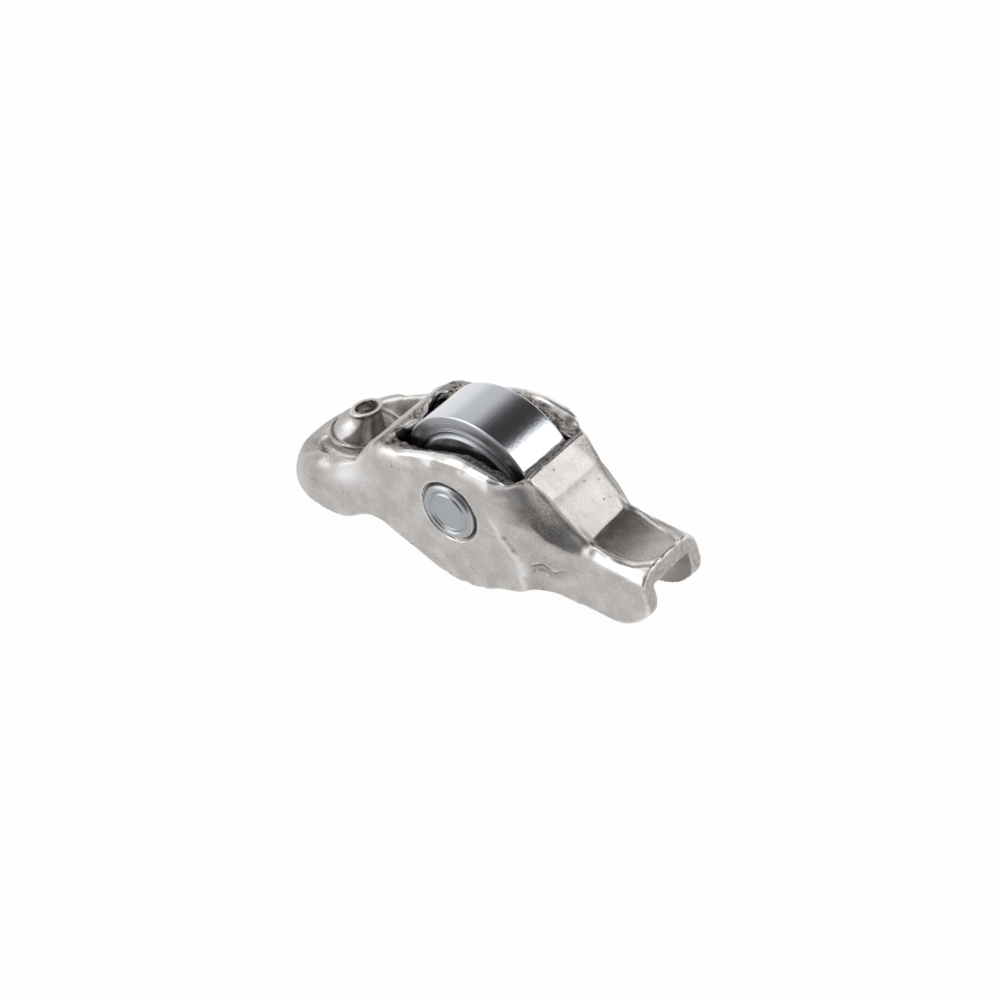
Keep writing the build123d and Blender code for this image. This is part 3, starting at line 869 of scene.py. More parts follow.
    def shaped_boss(self, vertices: Array) -> Array:
        """Draws the boss in to its waisted flank, tips its mouth back and moves it forward.

        Each radius about the boss's axis is stretched so that the straight cone's radius takes the
        waisted profile's, and the dish's floor round it follows, out to a radius that stays. Then
        the mouth moves along X and Z in step with the height, and its plane is sheared back.

        Args:
            vertices: places on the solid's skin.

        Returns:
            The moved places.
        """
        radius, height, _ = self.boss_place(vertices)
        cone = 3.3 - 1.6 * height / self.boss_height
        waist = np.interp(height, *self.waist)
        bore, wall, reach = self.oil_radius, 0.14, 4.7
        within = bore + wall + (radius - bore) * (waist - bore - wall) / (cone - bore)
        beyond = waist + (radius - cone) * (reach - waist) / (reach - cone)
        target = np.where(radius < cone, within, np.where(radius < reach, beyond, radius))
        target = np.where(radius < bore - 0.25, radius, target)
        share = smoothstep(-5.5, -4.9, vertices[:, 2]) * (radius < reach)
        axis = self.boss_axis()
        middle = np.array(self.boss_foot) + height[:, None] * axis
        scale = 1 + share * (target / np.maximum(radius, 1e-6) - 1)
        moved = middle + (vertices - middle) * scale[:, None]
        moved -= (self.mouth_lowered * share * smoothstep(2.6, 4.2, height))[:, None] * axis
        return self.tipped(moved, share)

    def tipped(self, vertices: Array, share: Array | float = 1.0) -> Array:
        """Moves the boss forward in step with its height, and shears its mouth's plane back.

        Args:
            vertices: places on the boss and round it.
            share: how much of the move each one takes.

        Returns:
            The moved places.
        """
        radius, height, _ = self.boss_place(vertices)
        across = vertices[:, 0] - self.boss_foot[0] - height * self.boss_axis()[0]
        near = share * smoothstep(3.6, 2.4, radius)
        rise = near * np.clip(height / self.boss_height, 0.0, 1.1)
        sheared = self.mouth_shear * across * near * smoothstep(1.4, 4.3, height)
        moved = vertices.copy()
        moved[:, 0] += rise * self.mouth_shift[0]
        moved[:, 2] += rise * self.mouth_shift[1] + sheared
        return moved

    def sleeve(self) -> tuple[Array, Array, Array]:
        """Fine skin of the boss: bored mouth with a rounded lip, neck, flared flank and foot bead.

        The profile turns about the boss's axis; near its foot each point slides along the axis by
        r cos(angle) tan(lean), so that the foot lies flat on the dish's floor.

        Returns:
            The vertices, their faces, and each vertex's radius and height on the profile.
        """
        top, bore, lip, count = self.boss_height, self.oil_radius, self.lip_radius, self.sleeve_segments
        corners = [(bore, 0.6, 0.0), (bore, top - 0.03, 0.07), (lip, top, 0.12),
                   (lip + 0.04, top - 0.28, 0.1), (lip - 0.16, top - 0.58, 0.2), (1.98, 3.0, 0.6),
                   (2.38, 2.0, 0.6), (2.64, 1.05, 0.2), (2.66, 0.74, 0.1), (2.84, 0.86, 0.14),
                   (3.04, 0.6, 0.14), (3.2, -0.3, 0.0), (1.6, -0.3, 0.0)]
        outline = refined(rounded_outline(corners, 5), 0.16)
        angle = np.linspace(0.0, 2 * np.pi, count, endpoint=False)
        radius, height = outline[:, :1] + 0 * angle, outline[:, 1:] + 0 * angle
        slope = math.tan(math.radians(self.boss_lean))
        height = height + radius * np.cos(angle) * slope * smoothstep(2.9, 0.9, height)
        axis = self.boss_axis()
        beside, across = np.array([axis[2], 0.0, -axis[0]]), np.array([0.0, 1.0, 0.0])
        grid = np.array(self.boss_foot) + height[..., None] * axis
        grid = grid + (radius * np.cos(angle))[..., None] * beside
        grid = grid + (radius * np.sin(angle))[..., None] * across
        faces = np.roll(grid_faces(len(outline), count, closed=True), -1, axis=1)
        return self.tipped(grid.reshape(-1, 3)), faces, np.repeat(outline, count, axis=0)

    def softened(self, vertices: Array, links: Neighbours, crisp: Array) -> Array:
        """Rounds the bends, and smooths the ramp's sides and the valleys beside them.

        Args:
            vertices: places on the solid's skin.
            links: their neighbours.
            crisp: 1 where the edges stay sharp.

        Returns:
            The moved places.
        """
        vertices = links.fair(vertices, self.fair_rounds)
        x, y, _ = vertices.T
        ramp = 0.85 * smoothstep(6.5, 8.0, x) * smoothstep(4.2, 3.6, np.abs(y))
        vertices = links.relax(vertices, 0.5 * (1 - np.maximum(crisp, ramp)), self.bend_rounds)
        x, y, z = vertices.T
        wide = np.abs(y)
        sides = plateau(wide, 3.0, 3.7, 5.0, 5.6) * smoothstep(8.3, 9.2, x)
        sides *= smoothstep(15.2, 14.2, x) * smoothstep(0.0, 0.8, z)
        vertices = links.relax(vertices, 0.6 * sides, 10)
        valley = smoothstep(4.0, 4.6, wide) * smoothstep(8.0, 10.0, x) * smoothstep(16.0, 14.0, x)
        valley *= smoothstep(-3.5, -0.5, z) * smoothstep(0.2, 1.0, self.below_ramp(vertices))
        return links.relax(vertices, 0.7 * valley, 45)

    def torn_window(self, vertices: Array) -> Array:
        """Opens the window round the roller, and tears its rear edge into a tongue.

        The front bar's inner face and the side rims' inner edges step back from the roller, fading
        out below the rim. The rear edge comes forward in a ragged tongue beside the middle.

        Args:
            vertices: places on the arm.

        Returns:
            The moved places.
        """
        x, y, z = vertices.T
        wide = np.abs(y)
        ragged = lattice_noise(vertices, 0.9, 61)
        tongue = 0.4 * bell(y + 1.0, 1.3) - 0.6 * smoothstep(0.4, 1.9, y) - 0.4 * smoothstep(-2.3, -3.2, y)
        rear = plateau(x, -10.4, -9.1, -8.9, -8.4) * smoothstep(1.4, 2.6, z) * smoothstep(4.1, 3.6, wide)
        bar = np.clip((self.ramp_start - x) / 1.2, 0.0, 1.0) * (self.bar_back + 0.05 * ragged)
        front = smoothstep(3.2, 5.0, z) * smoothstep(4.9, 4.2, wide) * smoothstep(5.4, 5.9, x)
        sides = plateau(wide, 3.6, 3.8, 4.1, 4.9) * smoothstep(2.2, 3.8, z) * smoothstep(-9.2, -8.4, x)
        moved = vertices.copy()
        moved[:, 0] += (tongue + 0.12 * ragged) * rear + bar * front
        moved[:, 1] += np.sign(y) * sides * smoothstep(8.0, 7.2, x) * (self.sides_back + 0.06 * ragged)
        return moved

    def relief(self, vertices: Array, normals: Array, shear: Array) -> Array:
        """Height to add along the normals.

        It is the sum of a slow waviness of the pressed sheet, a rough tear on the sheared faces, the
        dish's raised floor, the rolled crest of the window's side rims, the sunk foot of the ramp, the
        lip and groove round the trough, the axle's seat and the folds of the side walls.

        Args:
            vertices: places on the arm.
            normals: the unit normals there.
            shear: 1 on the sheared faces.

        Returns:
            One height for each vertex.
        """
        x, y, z = vertices.T
        wide, level = np.abs(y), normals[:, 2]
        height = noise_sum(vertices, self.sheet_waves) * (1 - 0.5 * shear)
        height += noise_sum(vertices, self.tear) * shear
        dish = smoothstep(0.6, 0.85, level) * smoothstep(-3.3, -3.9, z) * smoothstep(-13.3, -14.0, x)
        height += self.dish_rise * dish * smoothstep(4.9, 3.6, np.hypot(x + 17.9, y))
        crest = smoothstep(0.3, 0.7, level) * smoothstep(2.8, 3.6, z) * plateau(x, -7.5, -5.5, 4.8, 6.6)
        uneven = 1 + 0.4 * lattice_noise(vertices, 2.4, 83)
        height += self.crest_rise * crest * bell(wide - 6.05, 0.6) * uneven
        middle = smoothstep(3.6, 2.6, wide) * smoothstep(0.5, 0.7, level) * smoothstep(-0.6, 0.0, z)
        line = x + 0.06 * y + 0.1 * lattice_noise(vertices, 1.6, 67)
        sunk = np.where(line < 14.5, np.clip((line - 12.1) / 2.4, 0, 1), np.clip((17.8 - line) / 3.3, 0, 1))
        height -= self.foot_sink * middle * sunk ** 2
        lip_line = distance_to_path(np.stack([x, wide], axis=1), np.transpose(self.trough_lip))
        top = smoothstep(0.5, 0.8, level) * smoothstep(14.4, 16.2, x) * smoothstep(-0.6, 0.0, z)
        groove = bell(lip_line - 0.45, 0.2) * (wide < 3.4)
        height += top * (self.lip_rise * bell(lip_line, 0.22) - self.lip_groove * groove)
        seat = bell(np.hypot(x, z) - 3.3, 0.13) * smoothstep(0.5, 0.8, np.abs(normals[:, 1]))
        height -= self.seat_sink * seat * smoothstep(6.8, 7.0, wide)
        return height + self.wall_folds(vertices, normals)

    def below_ramp(self, vertices: Array) -> Array:
        """Depth below the straight line that the ramp follows from the window's bar to the pad."""
        return self.ramp_start - 1.6 - 0.76 * (vertices[:, 0] - self.ramp_start) - vertices[:, 2]

    def behind_crease(self, vertices: Array) -> Array:
        """Distance behind the wavering crease of each side wall."""
        straight = 0.75 * (vertices[:, 0] - np.interp(vertices[:, 2], *self.crease))
        return straight + noise_sum(vertices, self.line_waver)

    def above_fold(self, vertices: Array) -> tuple[Array, Array]:
        """Places about the ragged fold low on the neck.

        Args:
            vertices: places on the arm.

        Returns:
            Height above the fold, and how much of the fold is left there.
        """
        x, _, z = vertices.T
        above = z - np.interp(x, *self.fold) + noise_sum(vertices, self.line_waver)
        return above, smoothstep(13.8, 12.2, x) * smoothstep(8.9, 9.9, x)

    def wall_folds(self, vertices: Array, normals: Array) -> Array:
        """Crease, lean, ridge and fold where each side wall necks in before the tip.

        Behind the crease the wall drops by a smooth step, beside the ramp it leans back towards its
        top, and a ridge and a ragged groove cross the neck below.

        Args:
            vertices: places on the arm.
            normals: the unit normals there.

        Returns:
            One height for each vertex.
        """
        x, y, z = vertices.T
        wide, sideways = np.abs(y), np.abs(normals[:, 1])
        behind = self.behind_crease(vertices)
        height = -self.crease_sink * smoothstep(-0.4, 0.5, behind) * smoothstep(3.6, 0.9, behind)
        height = (height + self.crease_rise * bell(behind + 0.5, 0.4)) * smoothstep(2.2, 0.4, z)
        above_ridge = z - np.interp(x, *self.ridge)
        height += self.ridge_rise * bell(above_ridge, 0.6) * plateau(x, 9.0, 10.0, 12.5, 14.5)
        above, fade = self.above_fold(vertices)
        height += fade * (self.fold_rise * bell(above - 0.8, 0.6) - self.fold_sink * bell(above, 0.5))
        height *= smoothstep(0.1, 0.4, sideways) * smoothstep(3.9, 4.2, wide)
        lean = smoothstep(0.1, 0.5, sideways) * smoothstep(3.9, 5.4, wide)
        lean *= smoothstep(4.6, 7.0, x) * smoothstep(15.5, 10.5, x) * smoothstep(-2.6, 2.4, z)
        return height - self.lean_slope * (z - 0.8) * lean

    def edges_and_corners(self, skin: ArmSkin, normals: Array) -> tuple[Array, Array]:
        """Finds the outer edges and the inner corners by how far a vertex stands off its neighbours.

        On the boss's sleeve both follow the profile: its lip, and the neck below the lip, where a ring of
        shade is painted.

        Args:
            skin: the arm's skin.
            normals: its unit normals.

        Returns:
            The polished edges, and the corners where shade is painted.
        """
        vertices, links = skin.vertices, skin.links
        bulge = -np.einsum("ij,ij->i", links.mean(vertices) - vertices, normals)
        bulge = links.relax(bulge, 0.6, 3) / self.voxel
        in_crease = bell(self.behind_crease(vertices), 0.9) * smoothstep(4.4, 5.0, np.abs(vertices[:, 1]))
        corner = smoothstep(0.09, 0.19, -bulge) * (1 - in_crease)
        neck = bell(skin.boss_rise - 3.88, 0.13) * (skin.boss_radius > 1.4)
        lip = smoothstep(4.0, 4.25, skin.boss_rise) * (1 - self.bored(skin.boss_radius))
        edge = np.where(skin.on_sleeve, 0.7 * lip, smoothstep(0.04, 0.12, bulge))
        return edge, np.where(skin.on_sleeve, 0.7 * neck, corner)

    def bored(self, radius: Array) -> Array:
        """1 on the wall of the sleeve's oil hole, by the radius on its profile."""
        return smoothstep(self.oil_radius + 0.14, self.oil_radius + 0.05, radius)

    def painted_highlight_mask(self, skin: ArmSkin, normals: Array) -> Array:
        """Marks the painted highlights: patches lightened as if rubbed bright.

        They are the window's outer crest, the tip's flanges, the rear shoulder, a flank of the boss
        and the line of the crease.

        Args:
            skin: the arm's skin.
            normals: its unit normals.

        Returns:
            1 on the patches, 0 elsewhere.
        """
        x, y, z = skin.vertices.T
        wide, level = np.abs(y), normals[:, 2]
        crest = smoothstep(0.6, 0.35, np.abs(wide - 6.55)) * plateau(x, -7.0, -5.5, 6.6, 7.4)
        crest *= smoothstep(4.2, 4.8, z) * smoothstep(-0.35, 0.0, layered_noise(skin.vertices, 1.8, 91))
        flange = plateau(level, 0.3, 0.5, 0.88, 0.96) * smoothstep(3.3, 3.6, wide)
        flange *= plateau(x, 15.2, 16.4, 21.0, 22.0)
        beside, above = x + 13.7, z + 2.3
        shoulder = np.exp(-(0.41 * beside) ** 2 - (0.4 * beside - 0.75 * above) ** 2)
        shoulder *= smoothstep(6.0, 6.6, wide)
        radius, height, angle = self.boss_place(skin.vertices)
        flank = skin.on_sleeve * bell(angle + 1.4, 0.6) * plateau(height, 0.8, 1.2, 3.3, 3.9) * (radius > 1.5)
        line = bell(self.behind_crease(skin.vertices) + 0.3, 0.22) * smoothstep(2.6, 1.4, z)
        line *= smoothstep(4.4, 5.0, wide)
        return np.maximum.reduce([crest, 0.9 * flange, shoulder, flank, 0.6 * line])

    def stain_and_shade_mask(self, vertices: Array, normals: Array) -> Array:
        """Adds up where the steel is darkened.

        Random stains lie in patches all over; the rest is painted shade: in the dish, on the flanks
        beside the ramp, in the trough, crease and fold, on the ramp's bevel, low on the rear and in its
        corner.

        Args:
            vertices: places on the arm.
            normals: the unit normals there.

        Returns:
            The share of darkening at each vertex.
        """
        x, y, z = vertices.T
        wide, level = np.abs(y), normals[:, 2]
        patches = smoothstep(0.0, 0.7, layered_noise(vertices, 3.0, 97))
        dish = smoothstep(-12.5, -13.5, x) * smoothstep(0.5, 0.9, level) * smoothstep(5.3, 4.6, wide)
        flank = plateau(self.below_ramp(vertices), -1.0, 0.6, 2.4, 4.4) * smoothstep(3.3, 4.6, wide)
        flank *= plateau(x, 6.5, 9.5, 14.2, 15.4) * smoothstep(-0.8, 2.2, z)
        inner = np.interp(x, *self.bevel)
        bevel = smoothstep(inner - 0.2, inner + 0.5, y) * plateau(x, 8.0, 8.6, 14.0, 14.8)
        trough = plateau(x, 14.4, 14.9, 15.5, 20.0) * smoothstep(3.4, 2.8, wide) * smoothstep(0.5, 0.7, level)
        crease = plateau(self.behind_crease(vertices), -0.1, 0.5, 0.7, 2.6) * smoothstep(2.4, 0.8, z)
        above, fade = self.above_fold(vertices)
        fold = fade * bell(above, 0.5) * smoothstep(4.0, 4.3, wide)
        rear = smoothstep(-11.0, -17.0, x) * smoothstep(-7.5, -5.5, z)
        corner = np.exp(-((x + 17.8) / 1.7) ** 2 - ((z + 3.5) / 1.4) ** 2) * smoothstep(5.2, 6.0, wide)
        # Only the random patches are stains; the dish, flank, trough, fold, corner, crease, bevel and rear
        # terms are painted shade.
        stain_and_shade = 0.2 * patches + 0.6 * dish + 0.7 * flank + 0.8 * trough + 0.5 * fold + 0.5 * corner
        stain_and_shade += 0.3 * crease * smoothstep(4.4, 4.8, wide) + 0.8 * bevel * smoothstep(0.3, 0.5, level)
        return np.clip(stain_and_shade + 0.35 * rear * (0.5 + patches), 0.0, 1.0)

    def inside_mask(self, vertices: Array) -> Array:
        """Marks the surfaces within the roller bay, the skirt's cavity and the tip's channel, where shade is
        painted.

        Args:
            vertices: places on the arm.

        Returns:
            1 on those surfaces, 0 elsewhere.
        """
        x, y, z = vertices.T
        slot = 2.8 + 1.2 * smoothstep(self.ramp_end, self.bay_radius, x)
        slot = np.where(x > self.bay_radius, slot, self.window_half)
        within = smoothstep(slot + 0.12, slot - 0.02, np.abs(y))
        bay = smoothstep(self.bay_radius + 0.25, self.bay_radius, np.hypot(x, z))
        bay = np.maximum(bay, smoothstep(3.0, 2.5, z) * smoothstep(-10.4, -10.0, x) * (x < 0))
        channel = smoothstep(-0.4, -0.9, z) * (x > self.bay_radius)
        skirt = smoothstep(-6.2, -6.7, z) * smoothstep(4.2, 3.9, np.hypot(x + 17.75, y))
        return np.clip(np.maximum(within * np.maximum(bay, channel), skirt), 0, 1)

    def skin(self) -> ArmSkin:
        """Shapes the solid's skin, joins the boss's sleeve to it and adds the relief.

        Returns:
            The finished skin.
        """
        vertices, faces = self.base_mesh()
        shear = self.shear_mask(vertices, vertex_normals(vertices, faces))
        radius, rise, _ = self.boss_place(vertices)
        mouth = smoothstep(2.4, 2.0, radius) * smoothstep(2.6, 3.2, rise)
        vertices = self.softened(vertices, Neighbours(faces, len(vertices)), np.maximum(shear, mouth))
        vertices = self.torn_window(self.shaped_boss(vertices))

        sleeve_vertices, sleeve_faces, profile = self.sleeve()
        faces = np.concatenate([faces, sleeve_faces + len(vertices)])
        on_sleeve = np.arange(len(vertices) + len(sleeve_vertices)) >= len(vertices)
        vertices = np.concatenate([vertices, sleeve_vertices])
        links = Neighbours(faces, len(vertices))
        radius, rise, _ = self.boss_place(vertices)
        radius[on_sleeve], rise[on_sleeve] = profile.T
        shear = np.concatenate([shear * (1 - mouth), np.zeros(len(sleeve_vertices))])
        shear += on_sleeve * self.bored(radius)

        normals = links.relax(vertex_normals(vertices, faces), 0.6, 4)
        normals /= np.linalg.norm(normals, axis=1, keepdims=True)
        height = self.relief(vertices, normals, shear)
        height = np.where(on_sleeve, 0.4 * np.clip(height, -0.12, 0.12),
                          height * smoothstep(0.9, 0.5, rise * (radius < 3.0)))
        vertices = vertices + normals * height[:, None]
        x, y, z = vertices.T
        neck = smoothstep(8.0, 8.8, x) * smoothstep(14.0, 13.0, x) * smoothstep(-3.6, -4.4, z)
        window_corner = smoothstep(1.6, 1.0, np.hypot(x - 7.3, np.abs(y) - 5.5)) * (z > 3.5)
        vertices = links.relax(vertices, 0.6 * np.maximum(neck, window_corner), 9)
        return ArmSkin(vertices, faces, links, shear, on_sleeve, radius, rise)

    def masks(self, skin: ArmSkin) -> dict[str, Array]:
        """Works out the masks that the arm's steel reads.

        Args:
            skin: the arm's skin.

        Returns:
            One value for each vertex, by the mask's name.
        """
        normals = vertex_normals(skin.vertices, skin.faces)
        edge, corner = self.edges_and_corners(skin, normals)
        inside = self.inside_mask(skin.vertices)
        x, y, z = skin.vertices.T
        # Painted shadow ring round the axle's seat, and painted shade inside the bay, channel and skirt
        # (deeper towards the rear) and in the corners.
        seat = smoothstep(3.5, 3.36, np.hypot(x, z)) * smoothstep(6.6, 6.8, np.abs(y))
        depth = inside * (0.8 + 0.2 * smoothstep(-7.2, -8.4, x))
        return {"shear": skin.shear,
                # edge: polished edges plus painted highlights, none inside the bay.
                "edge": np.maximum(edge, self.painted_highlight_mask(skin, normals)) * (1 - inside),
                "recess_shade": np.maximum.reduce([depth, 0.6 * corner, seat]),
                "stain_and_shade": self.stain_and_shade_mask(skin.vertices, normals)}

    def build(self) -> Piece:
        """Builds the arm's skin with its masks and gives it its steel.

        Returns:
            The arm.
        """
        skin = self.skin()
        mesh = mesh_from_arrays("pressed_arm", skin.vertices, skin.faces)
        for name, values in self.masks(skin).items():
            store(mesh, name, values)
        piece = link_piece("pressed_arm", mesh)
        mesh.materials.append(PressedSteel().build())
        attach(piece, "arm")
        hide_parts("arm_body")
        return piece


# ---------------------------------------------------------------- roller, axle and needles

def mirrored(side: list[tuple[float, float, float]]) -> list[tuple[float, float, float]]:
    """The corners of one side of an outline, followed by their mirror images about y = 0."""
    return side + [(radius, -along, rounding) for radius, along, rounding in reversed(side)]


@dataclass
class CamRoller:
    """Outer race of the cam roller: proud hub, turned groove and rounded running face."""

    radius: float = 8.75
    half_width: float = 3.4
    track_radius: float = 4.63
    hub_lip: float = 1.8
    hub_proud: float = 0.28
    groove_width: float = 0.28
    groove_depth: float = 0.12
    face_fall: float = 0.1
    fine_grooves: int = 3
    fine_pitch: float = 0.17
    edge: float = 0.22
    segments: int = 288

    def outline(self) -> Array:
        """Closed outline: bore, hub, groove, end face and running face, mirrored about y = 0.

        Returns:
            n by 2 points of radius and place along Y.
        """
        hub, half = self.track_radius + self.hub_lip, self.half_width
        groove, wide, deep = hub + self.hub_proud, self.groove_width, half - self.groove_depth
        side = [(self.track_radius, half + self.hub_proud, 0.12), (hub, half + self.hub_proud, 0.07),
                (groove, half, 0.04), (groove, deep, 0.03), (groove + wide, deep, 0.03),
                (groove + wide, half, 0.04)]
        for step in range(self.fine_grooves):
            start = groove + wide + 0.08 + self.fine_pitch * step
            side += [(start, half, 0.015), (start + 0.05, half - 0.035, 0.015), (start + 0.1, half, 0.015)]
        side.append((self.radius, half - self.face_fall, self.edge))
        return refined(rounded_outline(mirrored(side)), 0.45)

    def build(self) -> Piece:
        """Turns the race and gives it its ground finish.

        Returns:
            The race.
        """
        mesh = turned_mesh("roller_race", self.outline(), self.segments, closed=True)
        # The end faces are turned and darker than the running face; part of that darkness is painted shade
        # from the window's walls round them.
        finish = GroundSteel("roller_steel", tone=(0.66, 0.68, 0.72), end_tone=(0.30, 0.31, 0.34),
                             polish=0.16, end_polish=0.25, rim_radius=self.radius - 0.03)
        mesh.materials.append(finish.build())
        piece = link_piece("roller_race", mesh)
        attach(piece, "roller")
        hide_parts("cam_roller")
        return piece


@dataclass
class StakedAxle:
    """Hardened pin with a staked ring in each end."""

    radius: float = 3.15
    half_length: float = 7.48
    edge: float = 0.3
    ring_radius: float = 2.3
    ring_width: float = 0.5
    ring_depth: float = 0.22
    disc_drop: float = 0.1
    segments: int = 144

    def outline(self) -> Array:
        """Open outline from pole to pole, with the staked ring as a rounded groove.

        Returns:
            n by 2 points of radius and place along Y.
        """
        half, ring, reach = self.half_length, self.ring_radius, self.ring_width / 2
        end = [(0.0, half - self.disc_drop, 0.0), (ring - 0.42, half - self.disc_drop, 0.05),
               (ring - 0.36, half - 0.02, 0.05), (ring - reach + 0.02, half, 0.06),
               (ring, half - self.ring_depth, 0.1), (ring + reach, half, 0.08),
               (self.radius - self.edge, half, 0.12), (self.radius, half - self.edge, 0.12)]
        return refined(rounded_outline(mirrored(end), closed=False), 0.5, closed=False)

    def build(self) -> Piece:
        """Turns the pin and gives it its finish.

        Returns:
            The pin.
        """
        mesh = turned_mesh("staked_axle", self.outline(), self.segments, closed=False)
        finish = GroundSteel("axle_steel", tone=(0.38, 0.39, 0.41), end_tone=(0.34, 0.355, 0.37),
                             polish=0.22, end_polish=0.30, rim_radius=self.radius - 0.12)
        mesh.materials.append(finish.build())
        piece = link_piece("staked_axle", mesh)
        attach(piece, "arm")
        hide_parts("roller_axle")
        return piece


@dataclass
class NeedleRow:
    """The loose needles around the axle, which keep their solids."""

    def dress(self) -> int:
        """Gives every needle the bearing steel.

        Returns:
            The number of needles.
        """
        material = GroundSteel("needle_steel", tone=(0.6, 0.61, 0.63), end_tone=(0.5, 0.51, 0.53),
                               polish=0.18, end_polish=0.25, rim_radius=1.0).build()
        needles = [node for name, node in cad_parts.items() if name.startswith("needle_")]
        for needle in needles:
            needle.data.materials.clear()
            needle.data.materials.append(material)
        return len(needles)


# ---------------------------------------------------------------- studio

@dataclass(frozen=True)
class Softbox:
    """A zone of the studio as the polished steel sees it: a soft lamp or a dark card.

    Its angles are in degrees: inner and outer are those from its middle to where it is full and to
    where it ends.
    """

    azimuth: float
    elevation: float
    inner: float
    outer: float
    level: float

    def direction(self) -> tuple[float, float, float]:
        """Points towards the zone's middle.

        Returns:
            The unit vector.
        """
        azimuth, elevation = math.radians(self.azimuth), math.radians(self.elevation)
        level = math.cos(elevation)
        return (math.cos(azimuth) * level, math.sin(azimuth) * level, math.sin(elevation))


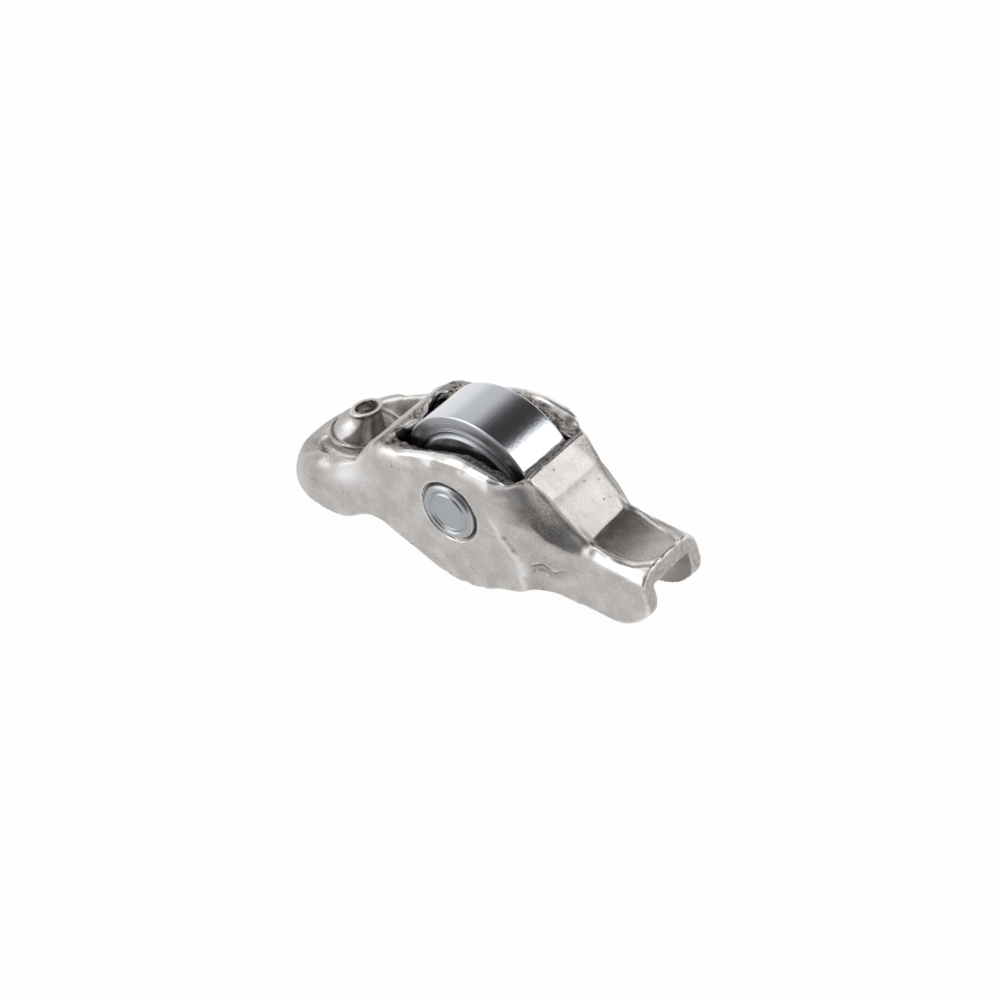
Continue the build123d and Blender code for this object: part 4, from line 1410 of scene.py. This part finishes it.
@dataclass
class Studio:
    """Pale floor, plain light room and camera."""

    floor_level: float = -8.86
    floor_half: float = 900.0
    floor_tone: Colour = (0.93, 0.93, 0.93)
    floor_white: float = 0.97
    camera_azimuth: float = 39.83
    camera_elevation: float = 42.35
    camera_roll: float = -2.09
    camera_distance: float = 295.9
    camera_offset: tuple[float, float] = (-0.61, 2.69)
    focal_pixels: float = 2942.0
    image_pixels: float = 1000.0
    sensor: float = 36.0
    ceiling: tuple[float, float] = (1.0, 0.55)
    zones: tuple[Softbox, ...] = (Softbox(-158, 52, 14, 30, 1.7), Softbox(-132, 8, 20, 31, 2.3),
                                  Softbox(142, 34, 6, 26, 0.7), Softbox(-68, 20, 22, 44, 0.17),
                                  Softbox(88, 57, 5, 36, 0.05), Softbox(36, 38, 12, 23, 1.8))
    lamps: tuple[Softbox, ...] = (Softbox(38, 36, 0, 0, 0.12), Softbox(-136, 42, 0, 0, 0.12))
    lamp_size: float = 500.0
    lamp_distance: float = 900.0

    def build_floor(self) -> None:
        """Lays the floor; camera, mirror and glass rays see most of it as white, and it keeps the shadow."""
        half = self.floor_half
        corners = np.array([(-half, -half, 0), (half, -half, 0), (half, half, 0), (-half, half, 0)], float)
        corners[:, 2] = self.floor_level
        floor = link_piece("floor", mesh_from_arrays("floor", corners, np.array([[0, 1, 2, 3]])))
        material, graph, _ = new_material("pale_floor")
        path = graph.node("ShaderNodeLightPath")
        seen = graph.math("MAXIMUM", path.outputs["Is Camera Ray"], path.outputs["Is Glossy Ray"])
        seen = graph.math("MAXIMUM", seen, path.outputs["Is Transmission Ray"])
        share = graph.times(seen, self.floor_white)
        matt = graph.node("ShaderNodeBsdfDiffuse", {"Color": (*self.floor_tone, 1.0)})
        glow = graph.node("ShaderNodeEmission", {"Color": (1.0, 1.0, 1.0, 1.0), "Strength": 1.0})
        inputs = {0: share, 1: matt.outputs[0], 2: glow.outputs[0]}
        close_material(graph, graph.node("ShaderNodeMixShader", inputs))
        floor.data.materials.append(material)

    def build_world(self) -> None:
        """Room whose light falls from a white horizon to a dimmer ceiling, with bright and dark zones.

        A zone's share is the smoothstep of the cosine of the angle to its middle, from its outer to
        its inner angle, and each zone is laid over those before it.
        """
        world = bpy.data.worlds.new("studio")
        bpy.context.scene.world = world
        world.use_nodes = True
        graph = Graph(world.node_tree)
        toward = graph.vector("NORMALIZE", graph.node("ShaderNodeTexCoord").outputs["Generated"]).outputs[0]
        rise = graph.node("ShaderNodeSeparateXYZ", {"Vector": toward}).outputs["Z"]
        level = graph.ramp(rise, 0.1, 0.9, *self.ceiling)
        for zone in self.zones:
            nearness = graph.vector("DOT_PRODUCT", toward, zone.direction()).outputs["Value"]
            outer, inner = math.cos(math.radians(zone.outer)), math.cos(math.radians(zone.inner))
            share = graph.ramp(nearness, outer, inner)
            level = graph.mix(share, level, zone.level)
        background = graph.node("ShaderNodeBackground", {"Color": (1.0, 1.0, 1.0, 1.0), "Strength": level})
        graph.node("ShaderNodeOutputWorld", {"Surface": background.outputs[0]})

    def build_lamps(self) -> None:
        """Hangs round area lamps, which give the floor its soft shadow; a level is a power in watts."""
        for index, box in enumerate(self.lamps):
            lamp = bpy.data.lights.new(f"softbox_{index + 1}", "AREA")
            lamp.shape = "DISK"
            lamp.size = self.lamp_size * MM
            lamp.energy = box.level
            holder = bpy.data.objects.new(lamp.name, lamp)
            bpy.context.scene.collection.objects.link(holder)
            direction = Vector(box.direction())
            holder.location = direction * self.lamp_distance * MM
            holder.rotation_euler = direction.to_track_quat("Z", "Y").to_euler()

    def build_camera(self) -> None:
        """Places the camera on its azimuth and elevation, rolled about its line of sight."""
        azimuth, elevation, roll = (math.radians(angle) for angle in
                                    (self.camera_azimuth, self.camera_elevation, self.camera_roll))
        back = Vector((math.sin(azimuth) * math.cos(elevation), -math.cos(azimuth) * math.cos(elevation),
                       math.sin(elevation)))
        level = Vector((math.cos(azimuth), math.sin(azimuth), 0.0))
        up = back.cross(level)
        right = math.cos(roll) * level + math.sin(roll) * up
        top = -math.sin(roll) * level + math.cos(roll) * up
        place = self.camera_distance * back - self.camera_offset[0] * right - self.camera_offset[1] * top
        camera = bpy.data.cameras.new("camera")
        camera.sensor_width = self.sensor
        camera.lens = self.focal_pixels * self.sensor / self.image_pixels
        camera.clip_start = 0.01
        camera.clip_end = 10.0
        holder = bpy.data.objects.new("camera", camera)
        bpy.context.scene.collection.objects.link(holder)
        turn = Matrix((right, top, back)).transposed().to_4x4()
        holder.matrix_world = Matrix.Translation(place * MM) @ turn
        bpy.context.scene.camera = holder

    def build(self) -> None:
        """Builds the floor, the light and the camera."""
        self.build_floor()
        self.build_world()
        self.build_lamps()
        self.build_camera()
        bpy.context.scene.view_settings.view_transform = "Standard"


def main() -> None:
    """Builds every sub-assembly in order and reports each piece."""
    logging.basicConfig(level=logging.INFO, format="%(message)s")
    Studio().build()
    for piece in (PressedArm().build(), CamRoller().build(), StakedAxle().build()):
        LOG.info("%s: %d faces", piece.name, len(piece.data.polygons))
    LOG.info("needles: %d", NeedleRow().dress())


if __name__ == "__main__":
    main()
